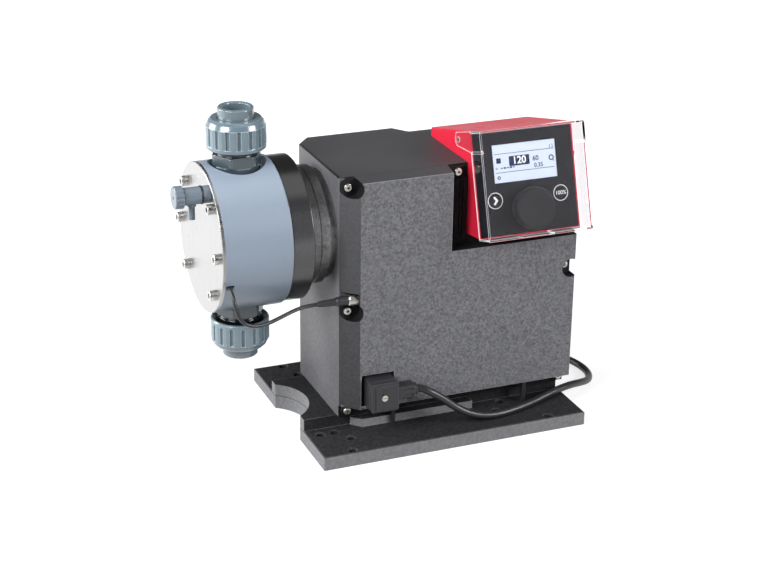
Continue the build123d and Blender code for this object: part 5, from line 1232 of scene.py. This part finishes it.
shown = stretch(tree, distance.outputs["Value"], *SHOWN_REACH, *SHOWN_GLOW)
mirrored = stretch(tree, spot.outputs[1], *MIRRORED_REACH, *MIRRORED_GLOW)
rays = add(tree, "ShaderNodeLightPath")
seen = either_of(tree, rays.outputs["Is Camera Ray"], rays.outputs["Is Transmission Ray"])
for_sight = calc(tree, "MULTIPLY", seen, shown)
for_mirrors = calc(tree, "MULTIPLY", rays.outputs["Is Glossy Ray"], mirrored)
glow = add(tree, "ShaderNodeEmission")
glow.inputs["Color"].default_value = WHITE
join(tree, either_of(tree, for_sight, for_mirrors), glow.inputs["Strength"])
both = add(tree, "ShaderNodeAddShader")
join(tree, shader.outputs[0], both.inputs[0])
join(tree, glow.outputs[0], both.inputs[1])
join(tree, both.outputs[0], tree.nodes["Material Output"].inputs["Surface"])
floor_mesh.materials.append(paper)
print("floor", 2.0 * FLOOR_HALF, "m wide")

# %% [markdown]
# ## Studio: surroundings
#
# A packshot room is white all round and darker overhead. What the surfaces
# mirror matters more than how brightly they are lit, so reflections see a white
# horizon that fades towards a dim ceiling and towards the camera's side, while
# the camera sees plain white.

# %% World
BEHIND_REACH = (-0.35, 0.35)
BEHIND_LIGHT = (0.12, 1.0)
CEILING_REACH = (-0.02, 0.16)
CEILING_LIGHT = (1.0, 0.14)
SOFT_LIGHT = 0.18


def white_background(tree, strength):
    """A white background shader of an even strength."""
    node = add(tree, "ShaderNodeBackground")
    node.inputs["Color"].default_value = WHITE
    node.inputs["Strength"].default_value = strength
    return node


def mix_shaders(tree, share, first, second):
    """Mixes two shaders by a mask."""
    node = add(tree, "ShaderNodeMixShader")
    join(tree, share, node.inputs[0])
    join(tree, first.outputs[0], node.inputs[1])
    join(tree, second.outputs[0], node.inputs[2])
    return node


world = bpy.data.worlds.new("room")
scene.world = world
world.use_nodes = True
tree = world.node_tree
tree.nodes.clear()
rays = add(tree, "ShaderNodeLightPath")
direction = add(tree, "ShaderNodeSeparateXYZ")
join(tree, add(tree, "ShaderNodeTexCoord").outputs["Generated"], direction.inputs[0])
behind = stretch(tree, direction.outputs[1], *BEHIND_REACH, *BEHIND_LIGHT)
ceiling = stretch(tree, direction.outputs[2], *CEILING_REACH, *CEILING_LIGHT)
room = add(tree, "ShaderNodeBackground")
join(tree, calc(tree, "MULTIPLY", behind, ceiling), room.inputs["Strength"])
soft = white_background(tree, SOFT_LIGHT)
plain = white_background(tree, 1.0)
lit = mix_shaders(tree, rays.outputs["Is Glossy Ray"], soft, room)
seen = either_of(tree, rays.outputs["Is Camera Ray"], rays.outputs["Is Transmission Ray"])
sky = mix_shaders(tree, seen, lit, plain)
join(tree, sky.outputs[0], add(tree, "ShaderNodeOutputWorld").inputs[0])
print("world nodes", len(tree.nodes))

# %% [markdown]
# ## Studio: lamps
#
# One soft box stands in front on the left and lights the red side of the control cube. One behind
# on the left reaches past the round head to the side of the housing, which with the bright paper
# behind it and the painted light in its colour becomes the palest face. A third lights the front
# from the right. The slanted edge between side and front mirrors only dim paper and carries
# painted shade, so it stays dark, which makes the housing look solid. The last hangs overhead and
# draws the highlight along the top of the round head, helped by the painted light on the head's
# upper part.

# %% Lamps
SOFT_BOXES = [
    ("left_box", (-1.8, -0.8, 1.35), (0.0, 0.0, 0.15), 1.1, 60.0),
    ("rear_left_box", (-2.0, 1.2, 0.9), (0.0, 0.0, 0.15), 1.2, 62.0),
    ("front_box", (2.0, -1.75, 1.2), (0.0, 0.0, 0.15), 1.2, 80.0),
    ("top_box", (0.30, -0.1, 1.8), (0.0, 0.0, 0.2), 1.2, 4.0),
]


def soft_box(name, place, aim, size, power):
    """A square area lamp that looks at a point, in metres and watts."""
    light = bpy.data.lights.new(name, "AREA")
    light.shape = "SQUARE"
    light.size = size
    light.energy = power
    lamp = bpy.data.objects.new(name, light)
    scene.collection.objects.link(lamp)
    lamp.location = place
    lamp.rotation_euler = (Vector(aim) - Vector(place)).to_track_quat("-Z", "Y").to_euler()


for box in SOFT_BOXES:
    soft_box(*box)
